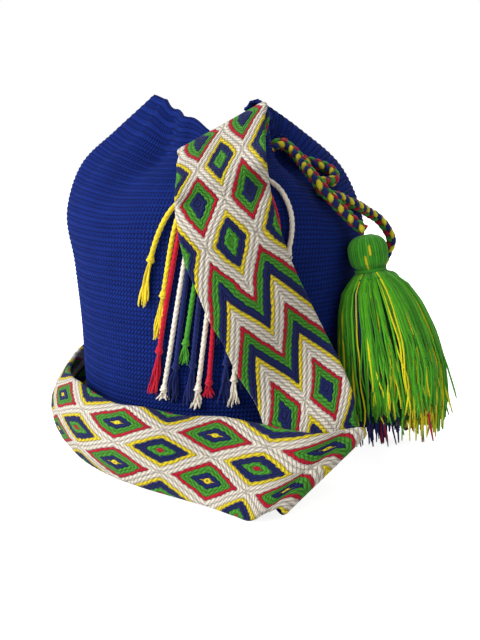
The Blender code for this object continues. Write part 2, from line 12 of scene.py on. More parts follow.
import bpy
import numpy as np
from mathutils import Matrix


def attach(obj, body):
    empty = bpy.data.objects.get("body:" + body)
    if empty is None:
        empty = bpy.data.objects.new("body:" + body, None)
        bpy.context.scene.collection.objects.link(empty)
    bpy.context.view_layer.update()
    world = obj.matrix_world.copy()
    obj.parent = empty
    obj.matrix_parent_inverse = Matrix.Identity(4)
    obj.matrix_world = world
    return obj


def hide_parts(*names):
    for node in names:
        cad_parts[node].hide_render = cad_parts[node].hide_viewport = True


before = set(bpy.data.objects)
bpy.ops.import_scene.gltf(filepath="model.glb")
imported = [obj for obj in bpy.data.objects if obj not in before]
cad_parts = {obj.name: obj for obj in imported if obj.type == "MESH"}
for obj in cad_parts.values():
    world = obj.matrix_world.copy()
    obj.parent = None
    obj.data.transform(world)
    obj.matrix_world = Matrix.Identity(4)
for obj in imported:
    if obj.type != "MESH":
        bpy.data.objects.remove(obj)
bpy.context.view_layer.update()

logging.basicConfig(level=logging.INFO, format="%(message)s")
log = logging.getLogger("bag")

# Sizes that this script shares with the CAD, in metres
WALL = 0.0035
ROUND_RELIEF = 0.0005
STRAP_THICKNESS = 0.004
WEAVE_RELIEF = 0.0006
FOLD_RADIUS = 0.0038
STRAND_DIAMETER = 0.004
KNOT_DIAMETER = 0.0062
DRAWSTRING_DIAMETER = 0.0095
FRONT_TASSEL_LENGTH = 0.172
REAR_TASSEL_LENGTH = 0.143
FRONT_TASSEL_WIDTH = 0.088
REAR_TASSEL_WIDTH = 0.078
TASSEL_DEPTH = 0.046
TASSEL_HEAD = 0.033
TASSEL_BOW = 0.005
BINDING_YARN = 0.0022
TOUCH = 0.0003
CURVE_ALLOWANCE = 0.0010
SEWN_LAYER = TOUCH + CURVE_ALLOWANCE + ROUND_RELIEF + WEAVE_RELIEF + STRAP_THICKNESS / 2
STRAND_LAYER = TOUCH + CURVE_ALLOWANCE + ROUND_RELIEF + STRAND_DIAMETER / 2
HANGING_GAP = 0.0008
HANGING_LAYER = STRAND_LAYER + KNOT_DIAMETER - STRAND_DIAMETER / 2 + HANGING_GAP + WEAVE_RELIEF + STRAP_THICKNESS / 2

# Down from each tassel's top: the end of the head's mesh, and the start of the skirt's yarns and of the tie
HEAD_END = 0.0365
SKIRT_START = 0.0315
TIE_START = 0.0284

# The plain lower wall and the gathered mouth, as (radius, height). The rim rolls in beside the two peaks, from -160
# to -112 and at 14 and 28 degrees, a little further than in the CAD
LOWER_WALL = ((0.1050, 0.0000), (0.1170, 0.0120), (0.1240, 0.0550), (0.1265, 0.1050), (0.1310, 0.1650))
FOLDED_WALL = {
    -180: ((0.1355, 0.2130), (0.1220, 0.2510), (0.0920, 0.2810), (0.0575, 0.3110)),
    -160: ((0.1336, 0.2109), (0.1117, 0.2454), (0.0800, 0.2716), (0.0506, 0.3064)),
    -136: ((0.1310, 0.2080), (0.0980, 0.2380), (0.0640, 0.2590), (0.0523, 0.2964)),
    -112: ((0.1315, 0.2106), (0.1080, 0.2390), (0.0800, 0.2595), (0.0660, 0.2895)),
    -88: ((0.1320, 0.2130), (0.1180, 0.2400), (0.0960, 0.2600), (0.0820, 0.2760)),
    -62: ((0.1300, 0.2090), (0.1110, 0.2395), (0.0850, 0.2600), (0.0740, 0.2790)),
    -38: ((0.1270, 0.2040), (0.0950, 0.2350), (0.0600, 0.2570), (0.0560, 0.2880)),
    0: ((0.1300, 0.2050), (0.1120, 0.2470), (0.0720, 0.2820), (0.0360, 0.3075)),
    14: ((0.1304, 0.2060), (0.1072, 0.2440), (0.0685, 0.2745), (0.0318, 0.3063)),
    28: ((0.1307, 0.2070), (0.1025, 0.2410), (0.0650, 0.2670), (0.0300, 0.3008)),
    45: ((0.1310, 0.2080), (0.0980, 0.2380), (0.0620, 0.2590), (0.0640, 0.2870)),
    90: ((0.1330, 0.2130), (0.1180, 0.2400), (0.0920, 0.2620), (0.0800, 0.2790)),
    135: ((0.1310, 0.2080), (0.0980, 0.2380), (0.0620, 0.2590), (0.0680, 0.2880)),
}

# The drawstring's route, centimetres: front end, rear end, and round the neck as (angle, radius, height)
FRONT_RUN = (
    (5.9, -4.75, 26.6),
    (6.6, -5.3, 25.9),
    (7.2, -6.5, 25.0),
    (7.7, -7.8, 24.3),
    (8.3, -8.45, 23.5),
    (9.3, -8.4, 22.4),
    (10.4, -8.1, 21.3),
    (11.35, -8.1, 20.4),
    (12.0, -8.15, 19.9),
)
REAR_RUN = (
    (7.3, -3.9, 25.5),
    (8.3, -3.9, 25.2),
    (9.12, -3.7, 24.93),
    (9.8, -3.9, 24.5),
    (9.9, -4.5, 23.95),
    (9.4, -5.1, 23.7),
    (8.78, -5.62, 23.73),
    (8.42, -6.22, 23.5),
    (8.46, -6.86, 23.12),
    (8.93, -7.15, 22.76),
    (9.57, -6.85, 22.62),
    (10.15, -6.2, 22.5),
    (10.9, -5.5, 22.1),
    (11.9, -4.7, 21.7),
    (13.1, -3.2, 21.0),
    (14.1, -2.6, 20.4),
    (14.9, -2.6, 19.5),
    (15.4, -2.5, 18.4),
    (15.1, -2.3, 17.3),
    (14.6, -2.0, 15.9),
)
NECK_RUN = (
    (-45, 7.2, 26.9),
    (-54, 6.9, 26.4),
    (-66, 6.1, 25.7),
    (-102, 5.0, 25.2),
    (-136, 5.1, 25.2),
    (-172, 5.1, 25.3),
    (-196, 5.2, 25.4),
    (-208, 6.1, 25.6),
    (-217, 7.1, 25.9),
    (-225, 7.5, 26.0),
    (-233, 7.1, 25.9),
    (-242, 6.1, 25.6),
    (-254, 5.2, 25.4),
    (-270, 4.9, 25.2),
    (-286, 5.2, 25.4),
    (-298, 6.1, 25.6),
    (-307, 7.1, 25.9),
    (-315, 7.5, 26.0),
    (-323, 7.1, 26.0),
    (-332, 6.1, 26.0),
    (-344, 5.3, 26.2),
    (-360, 5.0, 26.5),
    (-375, 5.2, 26.8),
    (-386, 6.1, 27.0),
)
EYELET_ROWS = (1, 7, 11, 15, 19, 23)

# Fringe, left to right: angle at the height FRINGE_FOOT, height of the lower end, height of the knot, yarn, and how
# many degrees it swings aside halfway down and at its lower end
FRINGE_FOOT = 7.0
FRONT_FRINGE = (
    (-120.5, 14.0, 18.2, "YELLOW", -2.2, -5.2),
    (-117.3, 11.6, 15.4, "YELLOW", -0.6, 0.4),
    (-114.1, 6.8, 10.8, "RED", -0.6, -1.0),
    (-110.9, 6.6, 7.6, "CREAM", 0.4, 0.0),
    (-107.7, 6.4, 9.6, "BLUE", -0.5, 0.4),
    (-104.5, 9.6, 11.6, "GREEN", 0.5, -0.5),
    (-101.3, 6.2, 9.8, "BLUE", -0.4, 0.4),
    (-98.1, 5.9, 7.8, "CREAM", 0.6, -0.2),
    (-94.9, 7.0, 8.4, "RED", -0.3, 0.6),
    (-91.7, 11.4, 13.4, "BLUE", 0.4, 0.0),
    (-88.5, 6.4, 10.0, "BLUE", 0.0, 0.0),
    (-85.3, 6.2, 8.6, "CREAM", 0.0, 0.0),
    (-82.1, 7.6, 10.2, "BLUE", 0.0, 0.0),
    (-69.5, 16.0, 17.4, "GREEN", 0.0, 0.0),
    (-61.5, 17.6, 18.3, "RED", 2.8, 0.0),
    (-57.0, 18.0, 18.7, "CREAM", 6.5, 0.0),
)
BACK_FRINGE = (
    (71.5, 12.5, 14.6, "BLUE", 0.6, -0.4),
    (75.9, 11.0, 13.2, "CREAM", -0.5, 0.5),
    (80.3, 12.0, 14.4, "GREEN", 0.8, 0.0),
    (84.7, 9.8, 12.4, "BLUE", -0.4, 0.5),
    (89.1, 11.4, 13.8, "YELLOW", 0.5, -0.5),
    (93.5, 10.4, 12.6, "RED", -0.7, 0.4),
    (97.9, 12.2, 14.2, "BLUE", 0.6, 0.3),
    (102.3, 11.6, 13.2, "CREAM", -0.4, 0.6),
)
FRONT_END = ((-104.5, 22.4), (-73.0, 24.4))
BACK_END = ((75.0, 22.4), (105.0, 22.4))

# Where the woven repeats fall along the strap's middle: (length from the front end in metres, repeat number)
WEAVE_PLACES = (
    (0.0000, -1.10),
    (0.0386, -0.50),
    (0.0670, 0.00),
    (0.1320, 1.00),
    (0.1645, 1.50),
    (0.3100, 3.40),
    (0.3950, 4.40),
    (0.4715, 5.40),
    (0.5530, 6.40),
    (0.6520, 7.40),
    (1.2000, 14.40),
)
CHEVRONS_START = 1.5
CHEVRONS_END = 3.4
CHEVRON_PERIOD = 1.41
# Distances from a diamond's middle at which one woven cord ends and the next begins
CORD_EDGES = (0.0, 0.115, 0.33, 0.475, 0.62, 0.78, 1.005, 1.23, 1.41, 1.555, 1.70, 1.90, 2.0)

# How much the diamonds round out at their widest, from 0 for straight sides to 1
EYE_ROUNDING = 0.35


class Yarn(Enum):
    """The yarns' colours, as sRGB hex."""

    CREAM = "#E9DFCF"
    RED = "#C2102F"
    GREEN = "#48992B"
    YELLOW = "#E8D02A"
    BLUE = "#101E5E"


def linear(code: str) -> tuple[float, float, float, float]:
    """Scene-linear colour of an sRGB hex code.

    Args:
        code: Six hex digits after a #.

    Returns:
        Red, green, blue and an alpha of 1.
    """
    parts = [int(code[k : k + 2], 16) / 255 for k in (1, 3, 5)]
    red, green, blue = (p / 12.92 if p <= 0.04045 else ((p + 0.055) / 1.055) ** 2.4 for p in parts)
    return red, green, blue, 1.0


# Curves, read as in the CAD


def key_steps(points: np.ndarray) -> np.ndarray:
    """Mean length between each point, or row of points, and the next."""
    lengths = np.linalg.norm(np.diff(np.asarray(points, float), axis=0), axis=-1)
    return np.maximum(lengths.reshape(len(lengths), -1).mean(axis=1), 1e-6)


def cubic(
    u: np.ndarray,
    run: np.ndarray,
    start: np.ndarray,
    end: np.ndarray,
    leave: np.ndarray,
    arrive: np.ndarray,
) -> np.ndarray:
    """The cubic from start to end over the length run, with the slopes leave and arrive, at shares u of it."""
    return (
        (2 * u**3 - 3 * u**2 + 1) * start
        + (u**3 - 2 * u**2 + u) * run * leave
        + (3 * u**2 - 2 * u**3) * end
        + (u**3 - u**2) * run * arrive
    )


def spline(points: np.ndarray, at: np.ndarray, steps: np.ndarray | None = None) -> np.ndarray:
    """Smooth curve through points, read at parameters from 0 to n - 1.

    Args:
        points: Array of shape (n, ..., k).
        at: Parameters.
        steps: Lengths between the points, or None for their own.

    Returns:
        The curve's values, of shape (len(at), ..., k).
    """
    points = np.asarray(points, float)
    at = np.asarray(at, float)
    steps = key_steps(points) if steps is None else steps
    shape = (-1,) + (1,) * (points.ndim - 1)
    gaps = steps.reshape(shape)
    secants = np.diff(points, axis=0) / gaps
    inner = (secants[:-1] * gaps[1:] + secants[1:] * gaps[:-1]) / (gaps[1:] + gaps[:-1])
    slopes = np.concatenate([secants[:1], inner, secants[-1:]])
    index = np.clip(at.astype(int), 0, len(points) - 2)
    u = (at - index).reshape(shape)
    return cubic(u, gaps[index], points[index], points[index + 1], slopes[index], slopes[index + 1])


def curve_lengths(points: np.ndarray) -> tuple[np.ndarray, np.ndarray]:
    """Parameters along the curve through points, and the length up to each."""
    fine = np.linspace(0, len(points) - 1, 60 * len(points))
    steps = np.linalg.norm(np.diff(spline(points, fine), axis=0), axis=1)
    return fine, np.concatenate([[0], np.cumsum(steps)])


def even_path(points: np.ndarray, step: float, least: int = 2) -> tuple[np.ndarray, np.ndarray]:
    """Points at even steps along the curve through points, and the length up to each."""
    fine, length = curve_lengths(points)
    run = np.linspace(0, length[-1], max(least, round(length[-1] / step)))
    return spline(points, np.interp(run, length, fine)), run


def centimetres(points: object) -> np.ndarray:
    """Points in centimetres as metres."""
    return np.asarray(points, float) * 0.01


def unit(vectors: np.ndarray) -> np.ndarray:
    """Vectors scaled to length 1 along the last axis."""
    return vectors / np.maximum(np.linalg.norm(vectors, axis=-1, keepdims=True), 1e-12)


def carried_frames(path: np.ndarray) -> tuple[np.ndarray, np.ndarray]:
    """Two directions across a path at each point, turned no more than the path itself turns.

    Args:
        path: Points of shape (n, 3).

    Returns:
        Two arrays of unit vectors of shape (n, 3), square to the path and to each other.
    """
    tangent = unit(np.gradient(path, axis=0))
    start = np.cross(tangent[0], (0.0, 0.0, 1.0))
    side = unit(start if np.linalg.norm(start) > 0.1 else np.cross(tangent[0], (1.0, 0.0, 0.0)))
    sides = [side]
    for heading in tangent[1:]:
        side = side - heading * float(side @ heading)
        side = side / math.sqrt(float(side @ side))
        sides.append(side)
    first = np.array(sides)
    return first, np.cross(tangent, first)


def spokes(first: np.ndarray, second: np.ndarray, turn: np.ndarray) -> np.ndarray:
    """Directions at these turns round points, from the two directions across each, of shape (..., turns, 3)."""
    return first[..., None, :] * np.cos(turn)[:, None] + second[..., None, :] * np.sin(turn)[:, None]


# Meshes


@dataclass
class Surface:
    """A closed surface of quads and fans, with one UV per corner and an optional colour per point.

    Args:
        points: Array of shape (n, 3).
        blocks: Arrays of faces, each of shape (k, 3) or (k, 4).
        uvs: For each block, an array of shape (k, corners, 2).
        colours: Scene-linear colours of shape (n, 3), or None.
        slots: For each block, the material index of each face.
    """

    points: np.ndarray
    blocks: list[np.ndarray]
    uvs: list[np.ndarray]
    colours: np.ndarray | None = None
    slots: list[np.ndarray] = field(default_factory=list)

    def outward(self) -> "Surface":
        """The surface with its faces turned out, by the sign of its volume."""
        volume = 0.0
        for block in self.blocks:
            corners = self.points[block]
            for k in range(1, block.shape[1] - 1):
                volume += np.einsum("ij,ij->", corners[:, 0], np.cross(corners[:, k], corners[:, k + 1]))
        if volume < 0:
            self.blocks = [block[:, ::-1] for block in self.blocks]
            self.uvs = [uv[:, ::-1] for uv in self.uvs]
        return self


def ringed(
    rings: np.ndarray,
    poles: np.ndarray,
    u: np.ndarray | None = None,
    v: np.ndarray | None = None,
    colours: np.ndarray | None = None,
) -> Surface:
    """One or many closed tubes: rings of points joined by quads, and a fan to a pole at each end.

    Args:
        rings: Array of shape (tubes, rings, columns, 3).
        poles: Array of shape (tubes, 2, 3).
        u: Value across, one more than the columns, or None for 0 to 1.
        v: Value along, one for each ring, or None for 0 to 1.
        colours: Array of shape (tubes, rings, columns, 3), or None.

    Returns:
        The surface, its quads in rows and then columns, faces out.
    """
    tubes, rows, columns, _ = rings.shape
    u = np.linspace(0, 1, columns + 1) if u is None else u
    v = np.linspace(0, 1, rows) if v is None else v
    each = rows * columns + 2
    base = np.arange(tubes)[:, None, None] * each
    row, column = (grid.ravel() for grid in np.meshgrid(np.arange(rows - 1), np.arange(columns), indexing="ij"))
    after = (column + 1) % columns
    quad = np.stack([row * columns + column, row * columns + after], axis=-1)
    quad = np.concatenate([quad, quad[:, ::-1] + columns], axis=1)
    quad_uv = np.stack(
        [
            np.stack([u[column], v[row]], -1),
            np.stack([u[column + 1], v[row]], -1),
            np.stack([u[column + 1], v[row + 1]], -1),
            np.stack([u[column], v[row + 1]], -1),
        ],
        axis=1,
    )
    around = np.arange(columns)
    beyond = (around + 1) % columns
    last = (rows - 1) * columns
    first_fan = np.stack([np.full(columns, rows * columns), beyond, around], axis=-1)
    last_fan = np.stack([np.full(columns, rows * columns + 1), last + around, last + beyond], axis=-1)
    fans = np.concatenate([first_fan, last_fan])
    fan_uv = np.zeros((2 * columns, 3, 2))
    fan_uv[:columns, :, 0] = np.stack([u[around], u[around + 1], u[around]], -1)
    fan_uv[columns:, :, 0] = np.stack([u[around], u[around], u[around + 1]], -1)
    fan_uv[:columns, :, 1] = v[0]
    fan_uv[columns:, :, 1] = v[-1]
    points = np.concatenate([rings.reshape(tubes, rows * columns, 3), poles], axis=1).reshape(-1, 3)
    tint = None
    if colours is not None:
        ends = np.stack([colours[:, 0].mean(axis=1), colours[:, -1].mean(axis=1)], axis=1)
        tint = np.concatenate([colours.reshape(tubes, rows * columns, 3), ends], axis=1).reshape(-1, 3)
    blocks = [(base + quad[None]).reshape(-1, 4), (base + fans[None]).reshape(-1, 3)]
    uvs = [np.tile(quad_uv, (tubes, 1, 1)), np.tile(fan_uv, (tubes, 1, 1))]
    slots = [np.zeros(len(block), int) for block in blocks]
    return Surface(points, blocks, uvs, tint, slots).outward()


def joined(surfaces: list[Surface]) -> Surface:
    """Several surfaces as one."""
    blocks, uvs, slots = [], [], []
    start = 0
    for surface in surfaces:
        blocks += [block + start for block in surface.blocks]
        uvs += surface.uvs
        slots += surface.slots
        start += len(surface.points)
    points = np.concatenate([surface.points for surface in surfaces])
    tinted = all(surface.colours is not None for surface in surfaces)
    colours = np.concatenate([surface.colours for surface in surfaces]) if tinted else None
    return Surface(points, blocks, uvs, colours, slots)


def threads(paths: np.ndarray, radii: np.ndarray, sides: int, colours: np.ndarray | None = None) -> Surface:
    """Many thin round yarns at once, each along its own path.

    Args:
        paths: Array of shape (yarns, points, 3), none of them running along X for long.
        radii: Array of shape (yarns, points).
        sides: Faces round each yarn.
        colours: One scene-linear colour for each yarn and point, of shape (yarns, points, 3), or None.

    Returns:
        The closed yarns as one surface.
    """
    tangent = unit(np.gradient(paths, axis=1))
    first = unit(np.cross(tangent, (1.0, 0.0, 0.0)))
    second = np.cross(tangent, first)
    turn = np.linspace(0, 2 * math.pi, sides, endpoint=False)
    rings = paths[:, :, None] + spokes(first, second, turn) * radii[:, :, None, None]
    poles = np.stack([paths[:, 0], paths[:, -1]], axis=1)
    tint = None if colours is None else np.repeat(colours[:, :, None], sides, axis=2)
    return ringed(rings, poles, colours=tint)


def piece(name: str, surface: Surface, materials: list[bpy.types.Material]) -> bpy.types.Object:
    """A smooth mesh object at the origin from a surface.

    Args:
        name: The object's name.
        surface: Its faces, UVs and colours.
        materials: One material for each slot number in the surface.

    Returns:
        The linked object.
    """
    mesh = bpy.data.meshes.new(name)
    faces = [face for block in surface.blocks for face in block.tolist()]
    mesh.from_pydata(surface.points.tolist(), [], faces)
    layer = mesh.uv_layers.new(name="pattern")
    corners = np.concatenate([uv.reshape(-1, 2) for uv in surface.uvs])
    layer.uv.foreach_set("vector", corners.ravel().astype(np.float32))
    mesh.polygons.foreach_set("material_index", np.concatenate(surface.slots).astype(np.int32))
    mesh.polygons.foreach_set("use_smooth", np.ones(len(faces), bool))
    if surface.colours is not None:
        tint = mesh.color_attributes.new(name="yarn", type="FLOAT_COLOR", domain="POINT")
        values = np.concatenate([surface.colours, np.ones((len(surface.colours), 1))], axis=1)
        tint.data.foreach_set("color", values.ravel().astype(np.float32))
    for look in materials:
        mesh.materials.append(look)
    mesh.update()
    made = bpy.data.objects.new(name, mesh)
    bpy.context.scene.collection.objects.link(made)
    triangles = sum(len(block) * (block.shape[1] - 2) for block in surface.blocks)
    low, high = surface.points.min(axis=0) * 1000, surface.points.max(axis=0) * 1000
    log.info("%s: %d triangles, %s to %s mm", name, triangles, np.round(low), np.round(high))
    return made


# Materials


def add_node(tree: bpy.types.NodeTree, kind: str, inputs: dict | None = None, **settings: object) -> bpy.types.Node:
    """Adds a node.

    Args:
        tree: The material's or world's node tree.
        kind: Blender's node type.
        inputs: Sockets by name or number: a value, or an output socket to link from.
        settings: The node's own properties.

    Returns:
        The node.
    """
    node = tree.nodes.new(kind)
    for key, value in settings.items():
        setattr(node, key, value)
    for key, value in (inputs or {}).items():
        if isinstance(value, bpy.types.NodeSocket):
            tree.links.new(value, node.inputs[key])
        else:
            node.inputs[key].default_value = value
    return node


def compute(tree: bpy.types.NodeTree, operation: str, *values: object) -> bpy.types.NodeSocket:
    """One step of arithmetic on sockets or numbers, as an output socket."""
    return add_node(tree, "ShaderNodeMath", dict(enumerate(values)), operation=operation).outputs[0]


def times(tree: bpy.types.NodeTree, value: object, by: object) -> bpy.types.NodeSocket:
    """A product."""
    return compute(tree, "MULTIPLY", value, by)


def plus(tree: bpy.types.NodeTree, value: object, more: object) -> bpy.types.NodeSocket:
    """A sum."""
    return compute(tree, "ADD", value, more)


def scaled(tree: bpy.types.NodeTree, value: object, by: object, more: object) -> bpy.types.NodeSocket:
    """A product and then a sum."""
    return compute(tree, "MULTIPLY_ADD", value, by, more)


def ramp(tree: bpy.types.NodeTree, factor: object, stops: list, interpolation: str) -> bpy.types.NodeSocket:
    """A colour ramp through (position, colour) stops, as its colour socket."""
    node = add_node(tree, "ShaderNodeValToRGB", {"Fac": factor})
    node.color_ramp.interpolation = interpolation
    elements = node.color_ramp.elements
    while len(elements) > 1:
        elements.remove(elements[-1])
    elements[0].position = stops[0][0]
    elements[0].color = stops[0][1]
    for position, colour in stops[1:]:
        elements.new(position).color = colour
    return node.outputs["Color"]


def blended(tree: bpy.types.NodeTree, factor: object, low: object, high: object, mode: str = "MIX") -> object:
    """A mix of two colours, as its colour socket."""
    node = add_node(tree, "ShaderNodeMix", data_type="RGBA", blend_type=mode)
    for key, value in ((0, factor), (6, low), (7, high)):
        if isinstance(value, bpy.types.NodeSocket):
            tree.links.new(value, node.inputs[key])
        else:
            node.inputs[key].default_value = value
    return node.outputs[2]


def noise(tree: bpy.types.NodeTree, size: float, detail: float = 2.0) -> bpy.types.NodeSocket:
    """Noise on the object's own coordinates, its lumps about size metres across."""
    place = add_node(tree, "ShaderNodeTexCoord").outputs["Object"]
    return add_node(tree, "ShaderNodeTexNoise", {"Vector": place, "Scale": 1 / size, "Detail": detail}).outputs[0]


def new_material(name: str) -> tuple[bpy.types.Material, bpy.types.NodeTree, bpy.types.Node]:
    """An empty Principled material, its tree and its shader."""
    made = bpy.data.materials.new(name)
    made.use_nodes = True
    return made, made.node_tree, made.node_tree.nodes["Principled BSDF"]


def pattern_place(tree: bpy.types.NodeTree) -> tuple[bpy.types.NodeSocket, bpy.types.NodeSocket]:
    """The piece's own UV: its place across and along the pattern."""
    uv = add_node(tree, "ShaderNodeUVMap", uv_map="pattern").outputs[0]
    split = add_node(tree, "ShaderNodeSeparateXYZ", {0: uv})
    return split.outputs[0], split.outputs[1]


def toned(
    tree: bpy.types.NodeTree,
    colour: object,
    tone: bpy.types.NodeSocket,
    height: bpy.types.NodeSocket,
    relief: float,
    strength: float = 0.9,
) -> None:
    """Gives the tree's shader a colour times a grey tone, which carries painted shade where a caller passes shade in,
    and a bump of this relief in metres.
    """
    shader = tree.nodes["Principled BSDF"]
    grey = add_node(tree, "ShaderNodeCombineColor", {0: tone, 1: tone, 2: tone}).outputs[0]
    tree.links.new(blended(tree, 1.0, colour, grey, "MULTIPLY"), shader.inputs["Base Color"])
    bump = add_node(tree, "ShaderNodeBump", {"Height": height, "Distance": relief, "Strength": strength})
    tree.links.new(bump.outputs[0], shader.inputs["Normal"])


@dataclass(frozen=True)
class CrochetedCotton:
    """Mercerised cotton yarn, crocheted tight: matt ridges, with painted shade in the gaps between the rounds.

    Args:
        crest: Colour on top of each round.
        trough_shade: Colour in the gap between two rounds, darker than the crest as painted shade.
        relief: Height of the yarn's own bumps, in metres.
    """

    crest: str = "#0B2778"
    # The trough colour is painted shade for the gaps between the rounds
    trough_shade: str = "#040930"
    relief: float = 0.0010

    def make(self) -> bpy.types.Material:
        """The material. The UV counts stitches across and rounds along."""
        made, tree, shader = new_material("crocheted_blue_cotton")
        across, along = pattern_place(tree)
        # A round is a rope of stitches: the ridge, then a notch between stitches that leans over
        ridge = compute(tree, "ABSOLUTE", compute(tree, "SINE", times(tree, along, math.pi)))
        lean = times(tree, compute(tree, "SINE", times(tree, along, 2 * math.pi)), 0.16)
        stitch = compute(tree, "PINGPONG", plus(tree, across, lean), 0.5)
        notch = compute(tree, "SMOOTH_MIN", times(tree, stitch, 3.4), 1.0, 0.3)
        height = times(tree, compute(tree, "POWER", ridge, 0.6), notch)
        fibre = noise(tree, 0.0012, 3.0)
        height = plus(tree, height, times(tree, fibre, 0.35))
        # Painted shade darkens the gaps between the rounds and the notches between the stitches, and the yarn's dye
        # varies a little from place to place
        shade = times(tree, compute(tree, "POWER", ridge, 0.5), plus(tree, notch, 0.25))
        colour = blended(tree, shade, linear(self.trough_shade), linear(self.crest))
        patch = scaled(tree, noise(tree, 0.02), 0.5, 0.75)
        fleck = scaled(tree, fibre, 0.5, 0.75)
        tone = times(tree, patch, fleck)
        toned(tree, colour, tone, height, self.relief)
        shader.inputs["Roughness"].default_value = 0.82
        shader.inputs["Specular IOR Level"].default_value = 0.12
        shader.inputs["Sheen Weight"].default_value = 0.03
        shader.inputs["Sheen Roughness"].default_value = 0.5
        shader.inputs["Sheen Tint"].default_value = linear("#5B7BE0")
        return made


@dataclass(frozen=True)
class WovenCotton:
    """Thick two-ply cotton cords woven into a band, each colour a cord that follows the diamonds' outlines.

    Args:
        name: The material's name.
        dots: Whether small dots stand in the middle of the diamonds, as on the band's other face.
        chevrons: Whether the outlines run on as chevrons below the last whole diamond.
        relief: Height of the cords, in metres.
        ply_turn: Distance between two turns of the plies along a cord, in the pattern's units.
        ply_slant: The same distance across the cords.
        scallop: How far the turns push the colours' edges out.
        wander: How far the edges wander in all, as hand work does.
    """

    name: str
    dots: bool
    chevrons: bool
    relief: float = 0.0012
    ply_turn: float = 0.24
    ply_slant: float = 0.115
    scallop: float = 0.016
    wander: float = 0.12

    def make(self) -> bpy.types.Material:
        """The material. The UV is (share across the band, repeats along it)."""
        made, tree, shader = new_material(self.name)
        across, along = pattern_place(tree)
        wander = scaled(tree, noise(tree, 0.007, 1.0), self.wander, -self.wander / 2)
        column = compute(tree, "ABSOLUTE", compute(tree, "SUBTRACT", across, 0.5))
        column = compute(tree, "ABSOLUTE", compute(tree, "SUBTRACT", column, 0.25))
        column = times(tree, column, 4.0)
        if self.chevrons:
            rise = times(tree, compute(tree, "SUBTRACT", 2.0, along), 2.0)
            away = plus(tree, self._rounded(tree, rise), column)
            folded = compute(tree, "FLOORED_MODULO", away, CHEVRON_PERIOD)
            above = compute(tree, "GREATER_THAN", away, 0.0)
            part = times(tree, compute(tree, "SUBTRACT", away, folded), above)
            distance = plus(tree, folded, part)
        else:
            rise = times(tree, compute(tree, "PINGPONG", along, 0.5), 2.0)
            distance = plus(tree, self._rounded(tree, rise), column)
        # Turns of the plies, 5 mm apart along the cords: they scallop the colours' edges and slant across each cord
        turns = times(tree, compute(tree, "SUBTRACT", rise, column), 1 / self.ply_turn)
        slant = plus(tree, turns, times(tree, distance, 1 / self.ply_slant))
        slant = plus(tree, slant, times(tree, wander, 2.0))
        scallop = compute(tree, "SINE", times(tree, turns, 2 * math.pi))
        scallop = times(tree, scallop, self.scallop)
        distance = plus(tree, plus(tree, distance, wander), scallop)
        share = times(tree, distance, 0.5)
        blue, green, red = linear(Yarn.BLUE.value), linear(Yarn.GREEN.value), linear(Yarn.RED.value)
        cream, yellow = linear(Yarn.CREAM.value), linear(Yarn.YELLOW.value)
        stops = [(0.0, yellow if self.dots else blue), (0.0575, blue), (0.165, green), (0.31, red)]
        stops += [(0.39, cream), (0.615, yellow), (0.705, blue), (0.85, green)]
        if self.dots:
            stops.append((0.95, red))
        colour = ramp(tree, share, stops, "CONSTANT")
        edges = [(edge / 2, (0, 0, 0, 1)) for edge in CORD_EDGES]
        tops = [((a + b) / 4, (1, 1, 1, 1)) for a, b in zip(CORD_EDGES[:-1], CORD_EDGES[1:])]
        cord = compute(tree, "POWER", ramp(tree, share, sorted(edges + tops), "LINEAR"), 0.5)
        twist = compute(tree, "PINGPONG", slant, 0.5)
        twist = compute(tree, "SMOOTH_MIN", times(tree, twist, 4.0), 1.0, 0.4)
        fibre = noise(tree, 0.0009, 3.0)
        height = times(tree, cord, scaled(tree, twist, 0.60, 0.40))
        height = plus(tree, height, times(tree, fibre, 0.25))
        # Painted shade: darker in the grooves between the cords and in the grooves of the plies' turns, times random
        # fibre tone
        shade = scaled(tree, cord, 0.65, 0.35)
        shade = times(tree, shade, scaled(tree, twist, 0.46, 0.54))
        shade = times(tree, shade, scaled(tree, fibre, 0.40, 0.82))
        toned(tree, colour, shade, height, self.relief)
        shader.inputs["Roughness"].default_value = 0.85
        shader.inputs["Specular IOR Level"].default_value = 0.2
        shader.inputs["Sheen Weight"].default_value = 0.08
        return made

    @staticmethod
    def _rounded(tree: bpy.types.NodeTree, rise: bpy.types.NodeSocket) -> bpy.types.NodeSocket:
        """The rise from 0 to 1, eased to (1 - cos(pi rise)) / 2 by EYE_ROUNDING, and unchanged outside that."""
        held = compute(tree, "MINIMUM", compute(tree, "MAXIMUM", rise, 0.0), 1.0)
        wave = compute(tree, "COSINE", times(tree, held, math.pi))
        eased = compute(tree, "SUBTRACT", scaled(tree, wave, -0.5, 0.5), held)
        return scaled(tree, eased, EYE_ROUNDING, rise)


@dataclass(frozen=True)
class SpunYarn:
    """Loose or twisted cotton yarn: fibres that break its colour into fine light and dark.

    Args:
        name: The material's name.
        colour: One colour for the whole piece, or None to take each yarn's own from the mesh, where painted shade
            darkens the grooves between lumps and yarns.
        fibre: Size of the fibres' flecks, in metres.
        relief: Height of the flecks, in metres.
    """

    name: str
    colour: str | None = None
    fibre: float = 0.0009
    relief: float = 0.0006

    def make(self) -> bpy.types.Material:
        """The material."""
        made, tree, shader = new_material(self.name)
        if self.colour is None:
            # The mesh's yarn colours carry painted shade in the grooves between lumps and yarns
            base = add_node(tree, "ShaderNodeAttribute", attribute_name="yarn").outputs["Color"]
        else:
            base = linear(self.colour)
        fleck = noise(tree, self.fibre, 3.0)
        tone = scaled(tree, fleck, 0.7, 0.65)
        tone = times(tree, tone, scaled(tree, noise(tree, 0.008), 0.4, 0.8))
        toned(tree, base, tone, fleck, self.relief, 0.6)
        shader.inputs["Roughness"].default_value = 0.88
        shader.inputs["Specular IOR Level"].default_value = 0.2
        shader.inputs["Sheen Weight"].default_value = 0.15
        return made


